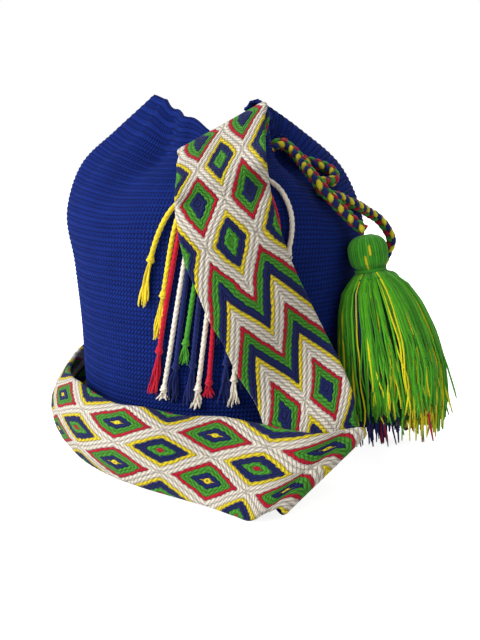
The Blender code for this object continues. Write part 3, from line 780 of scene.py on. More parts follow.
@dataclass(frozen=True)
class PaleFloor:
    """Seamless white paper: white to the camera, and a little greyer in the light that it throws back."""

    seen: float = 1.0
    thrown: float = 0.75
    glow: float = 0.80

    def make(self) -> bpy.types.Material:
        """The material."""
        made, tree, shader = new_material("white_paper")
        camera = add_node(tree, "ShaderNodeLightPath").outputs["Is Camera Ray"]
        low = (self.thrown, self.thrown, self.thrown, 1)
        high = (self.seen, self.seen, self.seen, 1)
        tree.links.new(blended(tree, camera, low, high), shader.inputs["Base Color"])
        shader.inputs["Emission Color"].default_value = (1, 1, 1, 1)
        tree.links.new(times(tree, camera, self.glow), shader.inputs["Emission Strength"])
        shader.inputs["Roughness"].default_value = 1.0
        shader.inputs["Specular IOR Level"].default_value = 0.0
        return made


# The bag's forms


class BagWall:
    """The outer face of the bag's wall: an upright profile that changes with the angle, folded near the mouth."""

    last_station = len(LOWER_WALL) + 3

    def keys(self, theta: np.ndarray) -> np.ndarray:
        """The profile's nine (radius, height) keys at each angle in degrees, of shape (..., 9, 2)."""
        angles = np.array(sorted(FOLDED_WALL) + [180], float)
        table = np.array([FOLDED_WALL[int(a)] for a in angles[:-1]] + [FOLDED_WALL[-180]])
        theta = (np.asarray(theta, float) + 180) % 360 - 180
        index = np.clip(np.searchsorted(angles, theta, side="right") - 1, 0, len(angles) - 2)
        share = (theta - angles[index]) / (angles[index + 1] - angles[index])
        share = (0.5 - 0.5 * np.cos(np.pi * share))[..., None, None]
        upper = table[index] * (1 - share) + table[index + 1] * share
        lower = np.broadcast_to(np.array(LOWER_WALL), theta.shape + (len(LOWER_WALL), 2))
        return np.concatenate([lower, upper], axis=-2)

    def points(self, theta: np.ndarray, station: np.ndarray) -> np.ndarray:
        """Points of the wall at angles and stations of one shape: a cubic through the keys at each angle."""
        theta, station = np.broadcast_arrays(np.asarray(theta, float), np.asarray(station, float))
        keys = self.keys(theta)
        gaps = np.linalg.norm(np.diff(keys, axis=-2), axis=-1)[..., None]
        secants = np.diff(keys, axis=-2) / gaps
        near, far = secants[..., :-1, :], secants[..., 1:, :]
        inner = (near * gaps[..., 1:, :] + far * gaps[..., :-1, :]) / (gaps[..., 1:, :] + gaps[..., :-1, :])
        slopes = np.concatenate([secants[..., :1, :], inner, secants[..., -1:, :]], axis=-2)
        index = np.clip(station.astype(int), 0, keys.shape[-2] - 2)
        pick = index[..., None, None]
        u = (station - index)[..., None]
        run, start, leave = (np.take_along_axis(grid, pick, axis=-2)[..., 0, :] for grid in (gaps, keys, slopes))
        end, arrive = (np.take_along_axis(grid, pick + 1, axis=-2)[..., 0, :] for grid in (keys, slopes))
        profile = cubic(u, run, start, end, leave, arrive)
        turn = np.radians(theta)
        radius = profile[..., 0]
        return np.stack([radius * np.cos(turn), radius * np.sin(turn), profile[..., 1]], axis=-1)

    def normals(self, theta: np.ndarray, station: np.ndarray) -> np.ndarray:
        """Unit normals of the wall, pointing out."""
        theta, station = np.broadcast_arrays(np.asarray(theta, float), np.asarray(station, float))
        low = np.clip(station - 0.04, 0, self.last_station)
        high = np.clip(station + 0.04, 0, self.last_station)
        rise = self.points(theta, high) - self.points(theta, low)
        turn = self.points(theta + 0.8, station) - self.points(theta - 0.8, station)
        return unit(np.cross(turn, rise))

    def station_at(self, theta: float, height: float, samples: int) -> float:
        """The station where the wall at an angle in degrees reaches a height in centimetres."""
        stations = np.linspace(0, self.last_station, samples)
        profile = self.points(np.full(samples, theta), stations)[:, 2]
        return np.interp(height * 0.01, np.maximum.accumulate(profile), stations)

    def beside(self, theta: float, height: float, distance: float) -> np.ndarray:
        """The point at an angle in degrees and a height in centimetres, this distance off the wall."""
        station = self.station_at(theta, height, 321)
        return self.points(theta, station) + distance * self.normals(theta, station)

    def even_stations(self, count: int) -> np.ndarray:
        """Stations that divide the mean profile into equal lengths."""
        theta = np.linspace(-180, 180, 48, endpoint=False)
        fine = np.linspace(0, self.last_station, 600)
        grid = self.keys(theta)
        mean = spline(np.moveaxis(grid, -2, 0).mean(axis=1), fine)
        length = np.concatenate([[0], np.cumsum(np.linalg.norm(np.diff(mean, axis=0), axis=1))])
        return np.interp(np.linspace(0, length[-1], count), length, fine)


@dataclass
class CrochetBody:
    """The body: rounds of single crochet up the outer wall, a rolled rim, the inner wall and a round base.

    Args:
        wall: The wall's form.
        rounds: Rounds from the base to the rim.
        stitches: Stitches in a round.
        drift: How many stitches each round leans past the one below.
        round_height: How far a round stands out, in metres.
        stitch_height: How far a stitch stands out, in metres.
        eyelet_yarn: Half the thickness of the ring of stitches round each eyelet.
    """

    wall: BagWall
    rounds: int = 84
    stitches: int = 246
    drift: float = 0.10
    round_height: float = 0.0004
    stitch_height: float = 0.00025
    eyelet_yarn: float = 0.0013

    def build(self, look: bpy.types.Material) -> bpy.types.Object:
        """Builds the body.

        Args:
            look: The crocheted finish.

        Returns:
            The piece that stands for bag_body.
        """
        rng = np.random.default_rng(3)
        rows = 2 * self.rounds + 1
        columns = 2 * self.stitches
        stations = self.wall.even_stations(rows)
        row = np.arange(rows)
        step = 360 / columns
        lean = row * self.drift * step
        theta = -180 + step * np.arange(columns)[None, :] + lean[:, None]
        station = np.repeat(stations[:, None], columns, axis=1)
        outer = self.wall.points(theta, station)
        normal = self.wall.normals(theta, station)
        # The crests of the odd rows stand out, and every other column of them a little more
        calm = 1 - 0.35 * np.clip((row - rows * 0.72) / (rows * 0.2), 0, 1)
        crest = (np.where(row % 2, 1.0, -1.0) * calm)[:, None] * self.round_height
        stitch = np.where((np.arange(columns)[None, :] + row[:, None] // 2) % 2, 1.0, -1.0) * self.stitch_height
        wander = self._wander(theta, stations, rng) * np.minimum(1, row / 8)[:, None]
        outer += normal * (crest + stitch + wander)[..., None]
        outer[0, :, 2] = 0.0006
        outer[..., 2] = np.maximum(outer[..., 2], 0.0004)
        # Rolled rim: a half round from the outer face to the inner one
        top, out = outer[-1], normal[-1]
        rise = unit(self.wall.points(theta[-1], station[-1]) - self.wall.points(theta[-1], station[-1] - 0.05))
        middle = top - out * WALL / 2
        roll = [
            middle + (out * math.cos(a) + rise * math.sin(a)) * WALL * 0.62
            for a in (math.radians(25), math.radians(90), math.radians(155))
        ]
        inner_stations = np.concatenate([np.linspace(self.wall.last_station, 4.5, 12), np.linspace(4.2, 0.35, 7)])
        inner_theta = np.repeat(theta[-1:], len(inner_stations), axis=0)
        inner_grid = np.repeat(inner_stations[:, None], columns, axis=1)
        inner = self.wall.points(inner_theta, inner_grid) - WALL * self.wall.normals(inner_theta, inner_grid)
        inner[..., 2] = np.maximum(inner[..., 2], WALL)
        floor = inner[-1] * (0.93, 0.93, 0) + (0, 0, WALL)
        base = outer[0] * (0.55, 0.55, 1)
        rings = np.concatenate([base[None], outer, np.array(roll), inner, floor[None]])
        poles = np.array([[(0, 0, 0.0006), (0, 0, WALL)]])
        u = np.arange(columns + 1) / 2
        v = np.concatenate([[-12], row / 2, self.rounds + 0.5 * np.arange(1, 4)])
        drop = np.linspace(0, 1, len(inner_stations) + 1) * self.rounds
        v = np.concatenate([v, self.rounds + 2 + drop])
        surface = ringed(rings[None], poles, u, v)
        surface = joined([surface, *self._eyelets()])
        return piece("crocheted_body", surface, [look])

    def _wander(self, theta: np.ndarray, stations: np.ndarray, rng: np.random.Generator) -> np.ndarray:
        """Slow unevenness of hand work: a few waves round the wall that change with height, up to 1 mm."""
        turn = np.radians(theta)
        total = np.zeros_like(theta)
        for waves in (3, 5, 8, 13, 21):
            phase = rng.uniform(0, 2 * math.pi, 2)
            swell = np.sin(stations * rng.uniform(0.9, 2.2) + phase[0])[:, None]
            total += 0.0007 / math.sqrt(waves) * swell * np.sin(waves * turn + phase[1])
        return total

    def _eyelets(self) -> list[Surface]:
        """A ring of stitches round the drawstring wherever it passes through the wall."""
        route = Drawstring.route()
        fine, length = curve_lengths(route)
        made = []
        for row in EYELET_ROWS:
            middle = np.interp(len(FRONT_RUN) + row, fine, length)
            at = np.interp(middle + np.array([-0.002, 0, 0.002]), length, fine)
            before, place, after = spline(route, at)
            heading = unit(after - before)
            theta = math.degrees(math.atan2(place[1], place[0]))
            up = np.array((0.0, 0.0, 1.0))
            side = unit(np.cross(heading, up))
            up = np.cross(side, heading)
            turn = np.linspace(0, 2 * math.pi, 66, endpoint=False)
            lump = 1 + 0.18 * np.cos(11 * turn)
            ring = DRAWSTRING_DIAMETER / 2 + self.eyelet_yarn
            centre = place + spokes(side, up, turn) * ring
            out = unit(centre - place)
            tube = np.linspace(0, 2 * math.pi, 8, endpoint=False)
            thick = self.eyelet_yarn * lump[:, None, None]
            rings = centre[:, None] + thick * spokes(out, heading, tube)
            made.append(self._torus(rings))
            log.info("eyelet at %d degrees", round(theta))
        return made

    @staticmethod
    def _torus(rings: np.ndarray) -> Surface:
        """A closed ring of rings, of shape (n, m, 3)."""
        count, around, _ = rings.shape
        a, b = (grid.ravel() for grid in np.meshgrid(np.arange(count), np.arange(around), indexing="ij"))
        c, d = (a + 1) % count, (b + 1) % around
        quads = np.stack([a * around + b, a * around + d, c * around + d, c * around + b], axis=-1)
        corners = ((a, b), (a, b + 1), (a + 1, b + 1), (a + 1, b))
        uv = np.stack([np.stack([x / 6, y / around], -1) for x, y in corners], 1)
        return Surface(rings.reshape(-1, 3), [quads], [uv], None, [np.zeros(len(quads), int)]).outward()


@dataclass
class WovenStrap:
    """The shoulder strap: one woven band, sewn to both sides of the bag and folded where it lies.

    Args:
        wall: The wall that its sewn ends and its hanging parts follow.
        columns: Faces across the band.
        step: Length between its rows, in metres.
        cord_height: How far the woven cords stand out, in metres.
        folds: First and last key row of each fold, where the band's rows stand closer.
    """

    wall: BagWall
    columns: int = 56
    step: float = 0.0017
    cord_height: float = 0.0009
    folds: tuple = ((2.0, 8.0), (20.0, 25.0), (41.0, 46.0))

    @staticmethod
    def _straight(low: tuple, high: tuple, bow: float = 0.0) -> tuple[np.ndarray, float]:
        """A straight row from the band's left edge to its right edge, and its bow in centimetres."""
        share = np.linspace(0, 1, 9)[:, None]
        return centimetres(low) * (1 - share) + centimetres(high) * share, bow * 0.01

    def _wall_row(self, a: float, h: float, b: float, k: float, distance: float) -> tuple[np.ndarray, float]:
        """A row along the wall from (angle a, height h) to (angle b, height k)."""
        share = np.linspace(0, 1, 9)
        return np.array([self.wall.beside(a + (b - a) * s, h + (k - h) * s, distance) for s in share]), 0.0

    def _turned(self, low: tuple, high: tuple, ahead: tuple, outward: tuple) -> list:
        """Five rows round a fold."""
        rows = []
        for turn in np.linspace(0, math.pi, 5):
            shift = FOLD_RADIUS * 100 * (np.array(ahead) * math.sin(turn) + np.array(outward) * (1 - math.cos(turn)))
            rows.append(self._straight(tuple(np.array(low) + shift), tuple(np.array(high) + shift)))
        return rows

    def key_rows(self) -> list:
        """Rows along the band from its front end to its back end, as in the CAD."""
        s, h = SEWN_LAYER, HANGING_LAYER
        row, on_wall = self._straight, self._wall_row
        return [
            on_wall(*FRONT_END[0], *FRONT_END[1], s),
            on_wall(-104.0, 23.4, -72.5, 25.6, s),
            row((-3.1, -10.9, 25.0), (3.9, -9.3, 28.2)),
            *self._turned((-2.95, -10.15, 25.7), (3.95, -8.25, 29.5), (-0.50, 0.63, 0.59), (-0.15, -0.74, 0.65)),
            row((-3.2, -11.6, 25.4), (3.65, -9.7, 29.1)),
            row((-3.2, -12.6, 24.4), (3.6, -11.0, 27.6)),
            row((-3.3, -13.8, 23.1), (3.6, -12.9, 25.6)),
            on_wall(-103.6, 21.8, -73.2, 23.6, h),
            on_wall(-101.8, 19.8, -73.0, 21.8, h),
            on_wall(-99.8, 17.8, -71.0, 20.1, h),
            on_wall(-96.5, 15.7, -69.0, 19.0, h),
            on_wall(-93.7, 13.9, -67.0, 18.0, h),
            on_wall(-89.2, 11.9, -61.0, 15.3, h),
            row((1.3, -13.7, 9.3), (8.2, -11.8, 12.6), 0.15),
            row((3.0, -13.8, 6.4), (9.6, -12.4, 9.9)),
            row((3.9, -16.6, 3.0), (10.6, -13.6, 7.4)),
            *self._turned((4.2, -20.2, 0.65), (11.0, -15.1, 4.9), (0.64, -0.40, -0.65), (0.17, -0.79, 0.59)),
            row((3.4, -21.0, 0.95), (10.1, -15.9, 5.45)),
            row((2.25, -21.3, 0.5), (7.6, -16.75, 5.35)),
            row((0.9, -20.3, 0.4), (3.6, -15.5, 5.6), -0.2),
            row((-0.9, -18.8, 0.4), (0.3, -14.0, 5.8), -0.4),
            row((-3.6, -16.8, 0.4), (-3.0, -13.3, 5.7), -0.9),
            row((-6.4, -14.7, 0.4), (-6.1, -12.3, 6.1), -1.1),
            row((-8.7, -12.6, 0.4), (-8.4, -10.7, 5.9), -1.2),
            row((-11.1, -9.6, 0.4), (-10.5, -8.3, 6.1), -1.2),
            row((-12.8, -6.5, 0.4), (-12.1, -5.7, 6.3), -1.2),
            row((-14.2, -3.4, 0.4), (-13.3, -2.9, 6.0), -1.2),
            row((-15.0, -0.2, 0.4), (-14.3, 1.0, 6.0), -1.1),
            row((-15.0, 2.8, 0.4), (-14.1, 4.6, 6.6), -0.8),
            row((-14.2, 6.4, 0.5), (-12.9, 8.0, 7.3), -0.3),
            on_wall(141, 1.6, 136, 9.0, h + 0.004),
            on_wall(124, 4.6, 126, 12.2, h + 0.002),
            on_wall(108, 9.2, 117.5, 16.0, h),
            on_wall(93.5, 13.8, 113.5, 19.4, h),
            on_wall(83.0, 18.4, 110.5, 21.9, h),
            row((3.8, 13.4, 23.6), (-3.8, 13.4, 24.3)),
            row((3.8, 12.1, 25.2), (-3.8, 12.1, 25.4)),
            row((3.8, 11.0, 26.1), (-3.8, 11.0, 26.1)),
            *self._turned((3.8, 10.1, 27.1), (-3.8, 10.1, 27.1), (0, -0.66, 0.75), (0, -0.75, -0.66)),
            row((3.8, 10.9, 25.2), (-3.8, 10.9, 25.2)),
            on_wall(74.5, 23.7, 105.5, 23.7, s),
            on_wall(*BACK_END[0], *BACK_END[1], s),
        ]

    @staticmethod
    def cord_profile(across: np.ndarray, repeat: np.ndarray) -> np.ndarray:
        """Height of the woven cords from 0 to 1: half rounds between the edges of CORD_EDGES.

        Args:
            across: Shares across the band.
            repeat: Repeat numbers along it.

        Returns:
            The heights, of the shape of both together.
        """
        def rounded(rise: np.ndarray) -> np.ndarray:
            """The rise, eased between 0 and 1 as in the material."""
            held = np.clip(rise, 0, 1)
            return rise + EYE_ROUNDING * (0.5 - 0.5 * np.cos(math.pi * held) - held)

        column = 4 * np.abs(np.abs(across - 0.5) - 0.25)
        lattice = rounded(2 * np.abs(repeat - np.round(repeat))) + column
        away = rounded(2 * (2 - repeat)) + column
        chevron = np.where(away > 0, away, np.mod(away, CHEVRON_PERIOD))
        distance = np.where((repeat > CHEVRONS_START) & (repeat < CHEVRONS_END), chevron, lattice)
        edges = np.array(CORD_EDGES)
        index = np.clip(np.searchsorted(edges, distance, side="right") - 1, 0, len(edges) - 2)
        width = edges[index + 1] - edges[index]
        share = (distance - edges[index]) / width
        return np.sqrt(np.clip(1 - (2 * share - 1) ** 2, 0, 1)) * np.minimum(1, width / 0.24)

    def build(self, looks: list[bpy.types.Material]) -> tuple[bpy.types.Object, float]:
        """Builds the band.

        Args:
            looks: The plain face, the chevron stretch of that face, and the dotted face.

        Returns:
            The piece that stands for strap, and the band's length.
        """
        keys = self.key_rows()
        last = len(keys) - 1
        rows = np.array([key[0] for key in keys])
        bows = np.array([key[1] for key in keys])
        steps = key_steps(rows)
        fine = np.linspace(0, last, 6000)
        middle = spline(rows[:, 4], fine, steps)
        length = np.concatenate([[0], np.cumsum(np.linalg.norm(np.diff(middle, axis=0), axis=1))])
        # Rows stand closer round the folds
        pace = np.full(len(fine), 1.0)
        for first, end in self.folds:
            pace[(fine > first) & (fine < end)] = 2.0
        paced = np.concatenate([[0], np.cumsum(np.diff(length) * pace[1:])])
        at = np.interp(np.linspace(0, paced[-1], round(paced[-1] / self.step)), paced, fine)
        place = np.interp(at, fine, length)
        repeat = np.interp(place, *np.array(WEAVE_PLACES).T)
        border = int(np.abs(repeat - CHEVRONS_END).argmin())
        repeat[border] = CHEVRONS_END
        share = np.linspace(0, 1, self.columns + 1)
        coarse = share * 8
        index = np.minimum(coarse.astype(int), 7)
        part = (coarse - index)[None, :, None]
        frame_rows = spline(rows, at, steps)
        grid = frame_rows[:, index] * (1 - part) + frame_rows[:, index + 1] * part
        along = spline(rows, np.minimum(at + 0.02, last), steps) - spline(rows, np.maximum(at - 0.02, 0), steps)
        across = frame_rows[:, -1:] - frame_rows[:, :1]
        normal = unit(np.cross(along.mean(axis=1, keepdims=True), across))
        arch = 4 * share * (1 - share)
        grid = grid + normal * (spline(bows[:, None], at, steps) * arch)[..., None]
        wide = along[:, index] * (1 - part) + along[:, index + 1] * part
        normal = unit(np.cross(wide, np.gradient(grid, axis=1)))
        flat = np.ones(len(at))
        for first, end in self.folds:
            beyond = np.maximum(first - at, at - end)
            flat = np.minimum(flat, np.clip(beyond / 0.4 + 0.35, 0.35, 1))
        cords = self.cord_profile(share[None, :], repeat[:, None])
        thin = 0.45 + 0.55 * np.clip(np.minimum(share, 1 - share) / 0.03, 0, 1) ** 0.5
        half = (STRAP_THICKNESS / 2 - 0.0003 + cords * flat[:, None] * self.cord_height) * thin
        upper = grid + normal * half[..., None]
        lower = grid - normal * half[..., None]
        low = np.minimum(upper[..., 2], lower[..., 2]).min(axis=1)
        lift = np.maximum(0, TOUCH - low)[:, None]
        upper[..., 2] += lift
        lower[..., 2] += lift
        rings = np.concatenate([upper, lower[:, ::-1]], axis=1)
        columns = rings.shape[1]
        poles = np.stack([rings[0].mean(axis=0), rings[-1].mean(axis=0)])
        u = np.concatenate([share, share[::-1], [0]])
        # Below the chevrons, the diamonds start again at a whole number
        shifted = np.where(np.arange(len(at)) >= border, repeat + 4 - CHEVRONS_END, repeat)
        surface = ringed(rings[None], poles[None], u, shifted)
        quads = surface.uvs[0].reshape(len(at) - 1, columns, 4, 2)
        edge = quads[border - 1]
        corner = int(np.abs(edge[0, :, 1] - 4.0).argmin())
        edge[np.abs(edge[..., 1] - edge[0, corner, 1]) < 1e-9, 1] = CHEVRONS_END
        slot = np.zeros((len(at) - 1, columns), int)
        slot[:, self.columns + 1 : 2 * self.columns + 1] = 2
        row_number = np.arange(len(at) - 1)
        chevrons = (row_number < border) & (repeat[:-1] >= CHEVRONS_START)
        slot[chevrons, : self.columns] = 1
        surface.slots[0] = slot.ravel()
        return piece("woven_strap", surface, looks), float(length[-1])


@dataclass
class FringeStrand:
    """One twisted cord of the fringe, with a knot and the yarns that have come loose below it.

    Args:
        wall: The wall that it lies on.
        name: The piece's name.
        top: (angle, height) of its upper end.
        low_angle: Its angle at the height FRINGE_FOOT.
        foot: Height of its lower end, in centimetres.
        knot: Height of its knot.
        sway: How far it swings aside halfway down and at its lower end, in degrees.
        seed: Number that sets how its loose yarns fall.
        strands: Loose yarns below the knot.
        loose_radius: Radius of one of them, in metres.
        ply_pitch: Length along the cord in which two plies pass, in metres.
    """

    wall: BagWall
    name: str
    top: tuple[float, float]
    low_angle: float
    foot: float
    knot: float
    sway: tuple[float, float]
    seed: int
    strands: int = 14
    loose_radius: float = 0.00070
    ply_pitch: float = 0.0095

    def _place(self, heights: np.ndarray, distance: np.ndarray, aside: float | np.ndarray = 0.0) -> np.ndarray:
        """Points on the wall at these heights, off it by distance and aside by degrees."""
        share = (self.top[1] - heights) / (self.top[1] - FRINGE_FOOT)
        own = np.clip((self.top[1] - heights) / (self.top[1] - self.foot), 0, 1)
        swing = self.sway[0] * np.sin(math.pi * own**0.6) + self.sway[1] * own
        angles = self.top[0] + (self.low_angle - self.top[0]) * share + swing + aside
        station = np.array([self.wall.station_at(angle, height, 161) for angle, height in zip(angles, heights)])
        return self.wall.points(angles, station) + distance[:, None] * self.wall.normals(angles, station)

    def build(self, look: bpy.types.Material) -> bpy.types.Object:
        """Builds the strand: a cord whose three plies turn once in 14 mm, its knot, and its loose yarns.

        Args:
            look: Its yarn.

        Returns:
            The piece that stands for the CAD strand.
        """
        rng = np.random.default_rng(self.seed)
        keys = np.linspace(self.top[1], self.knot, 7)
        guide = self._place(keys, np.full(7, STRAND_LAYER))
        path, run = even_path(guide, 0.0009, 24)
        tangent = unit(np.gradient(path, axis=0))
        first = unit(np.cross(tangent, (1.0, 0.0, 0.0)))
        second = np.cross(tangent, first)
        turn = np.linspace(0, 2 * math.pi, 15, endpoint=False)
        ply = np.abs(np.cos(1.5 * turn[None, :] - 2 * math.pi * run[:, None] / self.ply_pitch))
        swell = np.clip((run - run[-1] + 0.004) / 0.004, 0, 1)
        radius = STRAND_DIAMETER / 2 * (0.78 + 0.28 * ply) * (1 + 0.2 * swell[:, None])
        rings = path[:, None] + spokes(first, second, turn) * radius[..., None]
        cord = ringed(rings[None], path[[0, -1]][None], v=run / 0.011)
        return piece(self.name, joined([cord, self._knot(path[-1], tangent[-1]), self._loose(rng)]), [look])

    def _knot(self, place: np.ndarray, heading: np.ndarray) -> Surface:
        """An overhand knot: a lumpy bead whose three turns lean round it."""
        side = unit(np.cross(heading, (1.0, 0.0, 0.0)))
        other = np.cross(heading, side)
        around = np.linspace(0, 2 * math.pi, 18, endpoint=False)
        down = np.linspace(0.12, math.pi - 0.12, 13)
        lobes = 1 + 0.16 * np.cos(3 * (down[:, None] * 1.6 - around[None, :] * 0.66))
        radius = KNOT_DIAMETER / 2 * np.sin(down)[:, None] ** 0.8 * lobes
        centre = place + heading * (-np.cos(down) * KNOT_DIAMETER * 0.52)[:, None]
        rings = centre[:, None] + spokes(side, other, around) * radius[..., None]
        return ringed(rings[None], centre[[0, -1]][None])

    def _loose(self, rng: np.random.Generator) -> Surface:
        """Yarns that fan out below the knot, each waving a little, of unequal length."""
        count = 16
        paths = []
        drop = self.knot - self.foot
        for k in range(self.strands):
            share = np.linspace(0, 1, count)
            fall = drop * rng.uniform(0.72, 1.0)
            heights = self.knot - fall * share
            spread = (k / (self.strands - 1) - 0.5) * 2
            aside = share**0.8 * spread * 1.9 + 0.5 * np.sin(share * rng.uniform(4, 9) + rng.uniform(0, 6)) * share
            off = 0.0012 + 0.0026 * rng.random() + 0.0007 * np.sin(share * rng.uniform(4, 9) + rng.uniform(0, 6))
            paths.append(self._place(heights, np.maximum(off, 0.0010) + 0.0005, aside))
        radii = np.full((self.strands, count), self.loose_radius)
        radii[:, -3:] *= (0.95, 0.8, 0.5)
        return threads(np.array(paths), radii, 5)


@dataclass
class Drawstring:
    """The braided drawstring: a round braid of four colours, on one route from tassel to tassel.

    Args:
        lump: Length of one plait lump, in metres.
        sides: Faces round the cord.
        step: Length between its rings, in metres.
    """

    lump: float = 0.0063
    sides: int = 32
    step: float = 0.0008

    @staticmethod
    def route() -> np.ndarray:
        """The cord's points from the front tassel round the neck to the rear tassel, in metres."""
        turns = np.radians([row[0] for row in NECK_RUN])
        radius = np.array([row[1] for row in NECK_RUN])
        height = np.array([row[2] for row in NECK_RUN])
        neck = np.stack([radius * np.cos(turns), radius * np.sin(turns), height], axis=-1)
        return centimetres(np.concatenate([np.array(FRONT_RUN)[::-1], neck, np.array(REAR_RUN)]))

    def build(self, look: bpy.types.Material) -> tuple[bpy.types.Object, np.ndarray, float]:
        """Builds the cord.

        Args:
            look: Its yarn, which takes each lump's colour, with painted shade toward the lump's edges, from the mesh.

        Returns:
            The piece that stands for drawstring, its centreline and its length.
        """
        path, run = even_path(self.route(), self.step)
        first, second = carried_frames(path)
        turn = np.linspace(0, 2 * math.pi, self.sides, endpoint=False)
        # Four columns of oval lumps, every other column half a lump on, and each lump leaning
        quarter = turn / (math.pi / 2) + 0.5
        column = np.floor(quarter).astype(int) % 4
        inside = quarter - np.floor(quarter) - 0.5
        lean = np.where(column % 2, 1.0, -1.0) * inside * 0.45
        along = run[:, None] / self.lump + 0.5 * (column % 2) + lean
        number = np.floor(along).astype(int)
        part = along - number - 0.5
        plump = np.sqrt(np.clip(1 - (part / 0.52) ** 2 * 0.95 - (inside[None, :] / 0.56) ** 2 * 0.8, 0, 1))
        radius = DRAWSTRING_DIAMETER / 2 * (0.66 + 0.36 * plump)
        rings = path[:, None] + spokes(first, second, turn) * radius[..., None]
        shades = [linear(code)[:3] for code in ("#DFCF2C", "#16226A", "#AC1030", "#3A8E2A")]
        choice = np.where(column[None, :] % 2, 2, 0) + number % 2
        # Each lump's colour darkens toward its edges: painted shade in the grooves between the lumps
        tint = np.array(shades)[choice] * (0.25 + 0.75 * plump[..., None])
        surface = ringed(rings[None], path[[0, -1]][None], v=run / self.lump, colours=tint[None])
        return piece("braided_drawstring", surface, [look]), path, float(run[-1])


@dataclass
class Tassel:
    """A yarn tassel on one end of the drawstring: a lobed head, a tied neck and a skirt of many yarns.

    Args:
        name: Start of its pieces' names.
        run: The end of the drawstring that it hangs from.
        length: From the top of the head to the lowest yarns.
        width: Width of its skirt.
        swing: How far its foot hangs to the right and to the back.
        seed: Number that sets how its yarns fall.
        striped: Whether all its yarns go from navy to gold, or only the inner ones.
        yarns: Yarns in its skirt.
        head_yarns: Yarns round its head.
        yarn_radius: Radius of the skirt's yarns, in metres.
    """

    name: str
    run: tuple
    length: float
    width: float
    swing: tuple[float, float]
    seed: int
    striped: bool = False
    yarns: int = 560
    head_yarns: int = 44
    yarn_radius: float = 0.00088

    def _rings(self) -> np.ndarray:
        """The outline as (distance down, half width, half depth): the CAD's, with a tighter neck."""
        head = TASSEL_HEAD / 2
        length, wide, deep = self.length, self.width / 2, TASSEL_DEPTH / 2
        return np.array(
            (
                (0.0000, head * 0.30, head * 0.30),
                (0.0030, head * 0.72, head * 0.72),
                (0.0085, head * 0.96, head * 0.96),
                (0.0160, head, head),
                (0.0235, head * 0.92, head * 0.92),
                (0.0270, head * 0.74, head * 0.74),
                (0.0310, head * 0.72, head * 0.72),
                (HEAD_END, head * 1.12, head * 0.98),
                (length * 0.26, 0.61 * wide, 0.70 * deep),
                (length * 0.36, 0.78 * wide, 0.83 * deep),
                (length * 0.50, 0.91 * wide, 0.93 * deep),
                (length * 0.66, wide, deep),
                (length * 0.84, 0.98 * wide, 0.98 * deep),
                (length, 0.92 * wide, 0.94 * deep),
            )
        )

    def _axis(self) -> tuple[np.ndarray, np.ndarray, np.ndarray, np.ndarray]:
        """Its top, and its directions down, to the side and to the front."""
        end, before = centimetres(self.run[-1]), centimetres(self.run[-2])
        heading = unit(end - before)
        drop = math.sqrt(self.length**2 - self.swing[0] ** 2 - self.swing[1] ** 2)
        down = np.array((*self.swing, -drop)) / self.length
        tilt = np.linalg.norm(np.cross(heading, down))
        top = end + down * (TOUCH + tilt * DRAWSTRING_DIAMETER / 2)
        side = unit(np.cross(down, (0.0, 1.0, 0.0)))
        return top, down, side, np.cross(side, down)

    def _bow(self, down: np.ndarray) -> np.ndarray:
        """How far the skirt bows to the side at each distance down."""
        share = np.maximum(0, (down - TASSEL_HEAD) / (self.length - TASSEL_HEAD))
        return TASSEL_BOW * np.sin(np.pi * np.minimum(share, 1))

    def _shade(self, angle: np.ndarray, layer: np.ndarray, rng: np.random.Generator) -> np.ndarray:
        """Each yarn's colour at its root and at its tip, of shape (yarns, 2, 3).

        Args:
            angle: Where each yarn stands round the skirt.
            layer: 0 for the outer yarns, 1 for those just under them, 2 for the long inner ones.
            rng: Source of the random choices.

        Returns:
            The colours.
        """
        count = len(angle)
        greens = np.array([linear(code)[:3] for code in ("#4EA518", "#3B8E14", "#62B826", "#2A7014")])
        gold = np.array(linear("#E2D91A")[:3])
        navy, red = np.array(linear("#121E60")[:3]), np.array(linear("#A81230")[:3])
        root = greens[rng.choice(4, count, p=(0.46, 0.24, 0.2, 0.1))]
        tip = root.copy()
        side, chance = np.cos(angle), rng.random(count)
        # Inner yarns go from navy at the left through red to gold at the right
        inner = (layer == 2) | self.striped
        place = side + rng.normal(0, 0.22, count)
        for colour, low, high in ((navy, -9.0, -0.25), (red, -0.25, 0.05), (gold, 0.25, 0.75)):
            chosen = inner & (place > low) & (place <= high)
            root[chosen] = colour
            tip[chosen] = colour
        outer = ~inner
        root[outer & (chance < np.where(layer == 1, 0.35, 0.06))] = gold
        tip[outer & (chance < np.where(layer == 1, 0.75, 0.20))] = gold
        return np.stack([root, tip], axis=1)

    def build(self, look: bpy.types.Material, tie: bpy.types.Material) -> list[bpy.types.Object]:
        """Builds the tassel.

        Args:
            look: The yarn's finish, which takes each yarn's colour from the mesh, with painted shade on the head and
                the core.
            tie: The binding's finish.

        Returns:
            The head, the skirt, and the yarn tied round the neck.
        """
        rng = np.random.default_rng(self.seed)
        head = piece(f"{self.name}_head", self._head(), [look])
        skirt = piece(f"{self.name}_skirt", joined([self._core(), self._skirt(rng)]), [look])
        return [head, skirt, piece(f"{self.name}_tie", self._binding(), [tie])]

    def _form(self, rings: np.ndarray, turn: np.ndarray, swell: np.ndarray) -> np.ndarray:
        """Rings of points round the tassel's axis."""
        top, down, side, front = self._axis()
        centre = top + down * rings[:, :1] + side * self._bow(rings[:, 0])[:, None]
        across = side * (rings[:, 1:2] * swell * np.cos(turn))[..., None]
        return centre[:, None] + across + front * (rings[:, 2:3] * swell * np.sin(turn))[..., None]

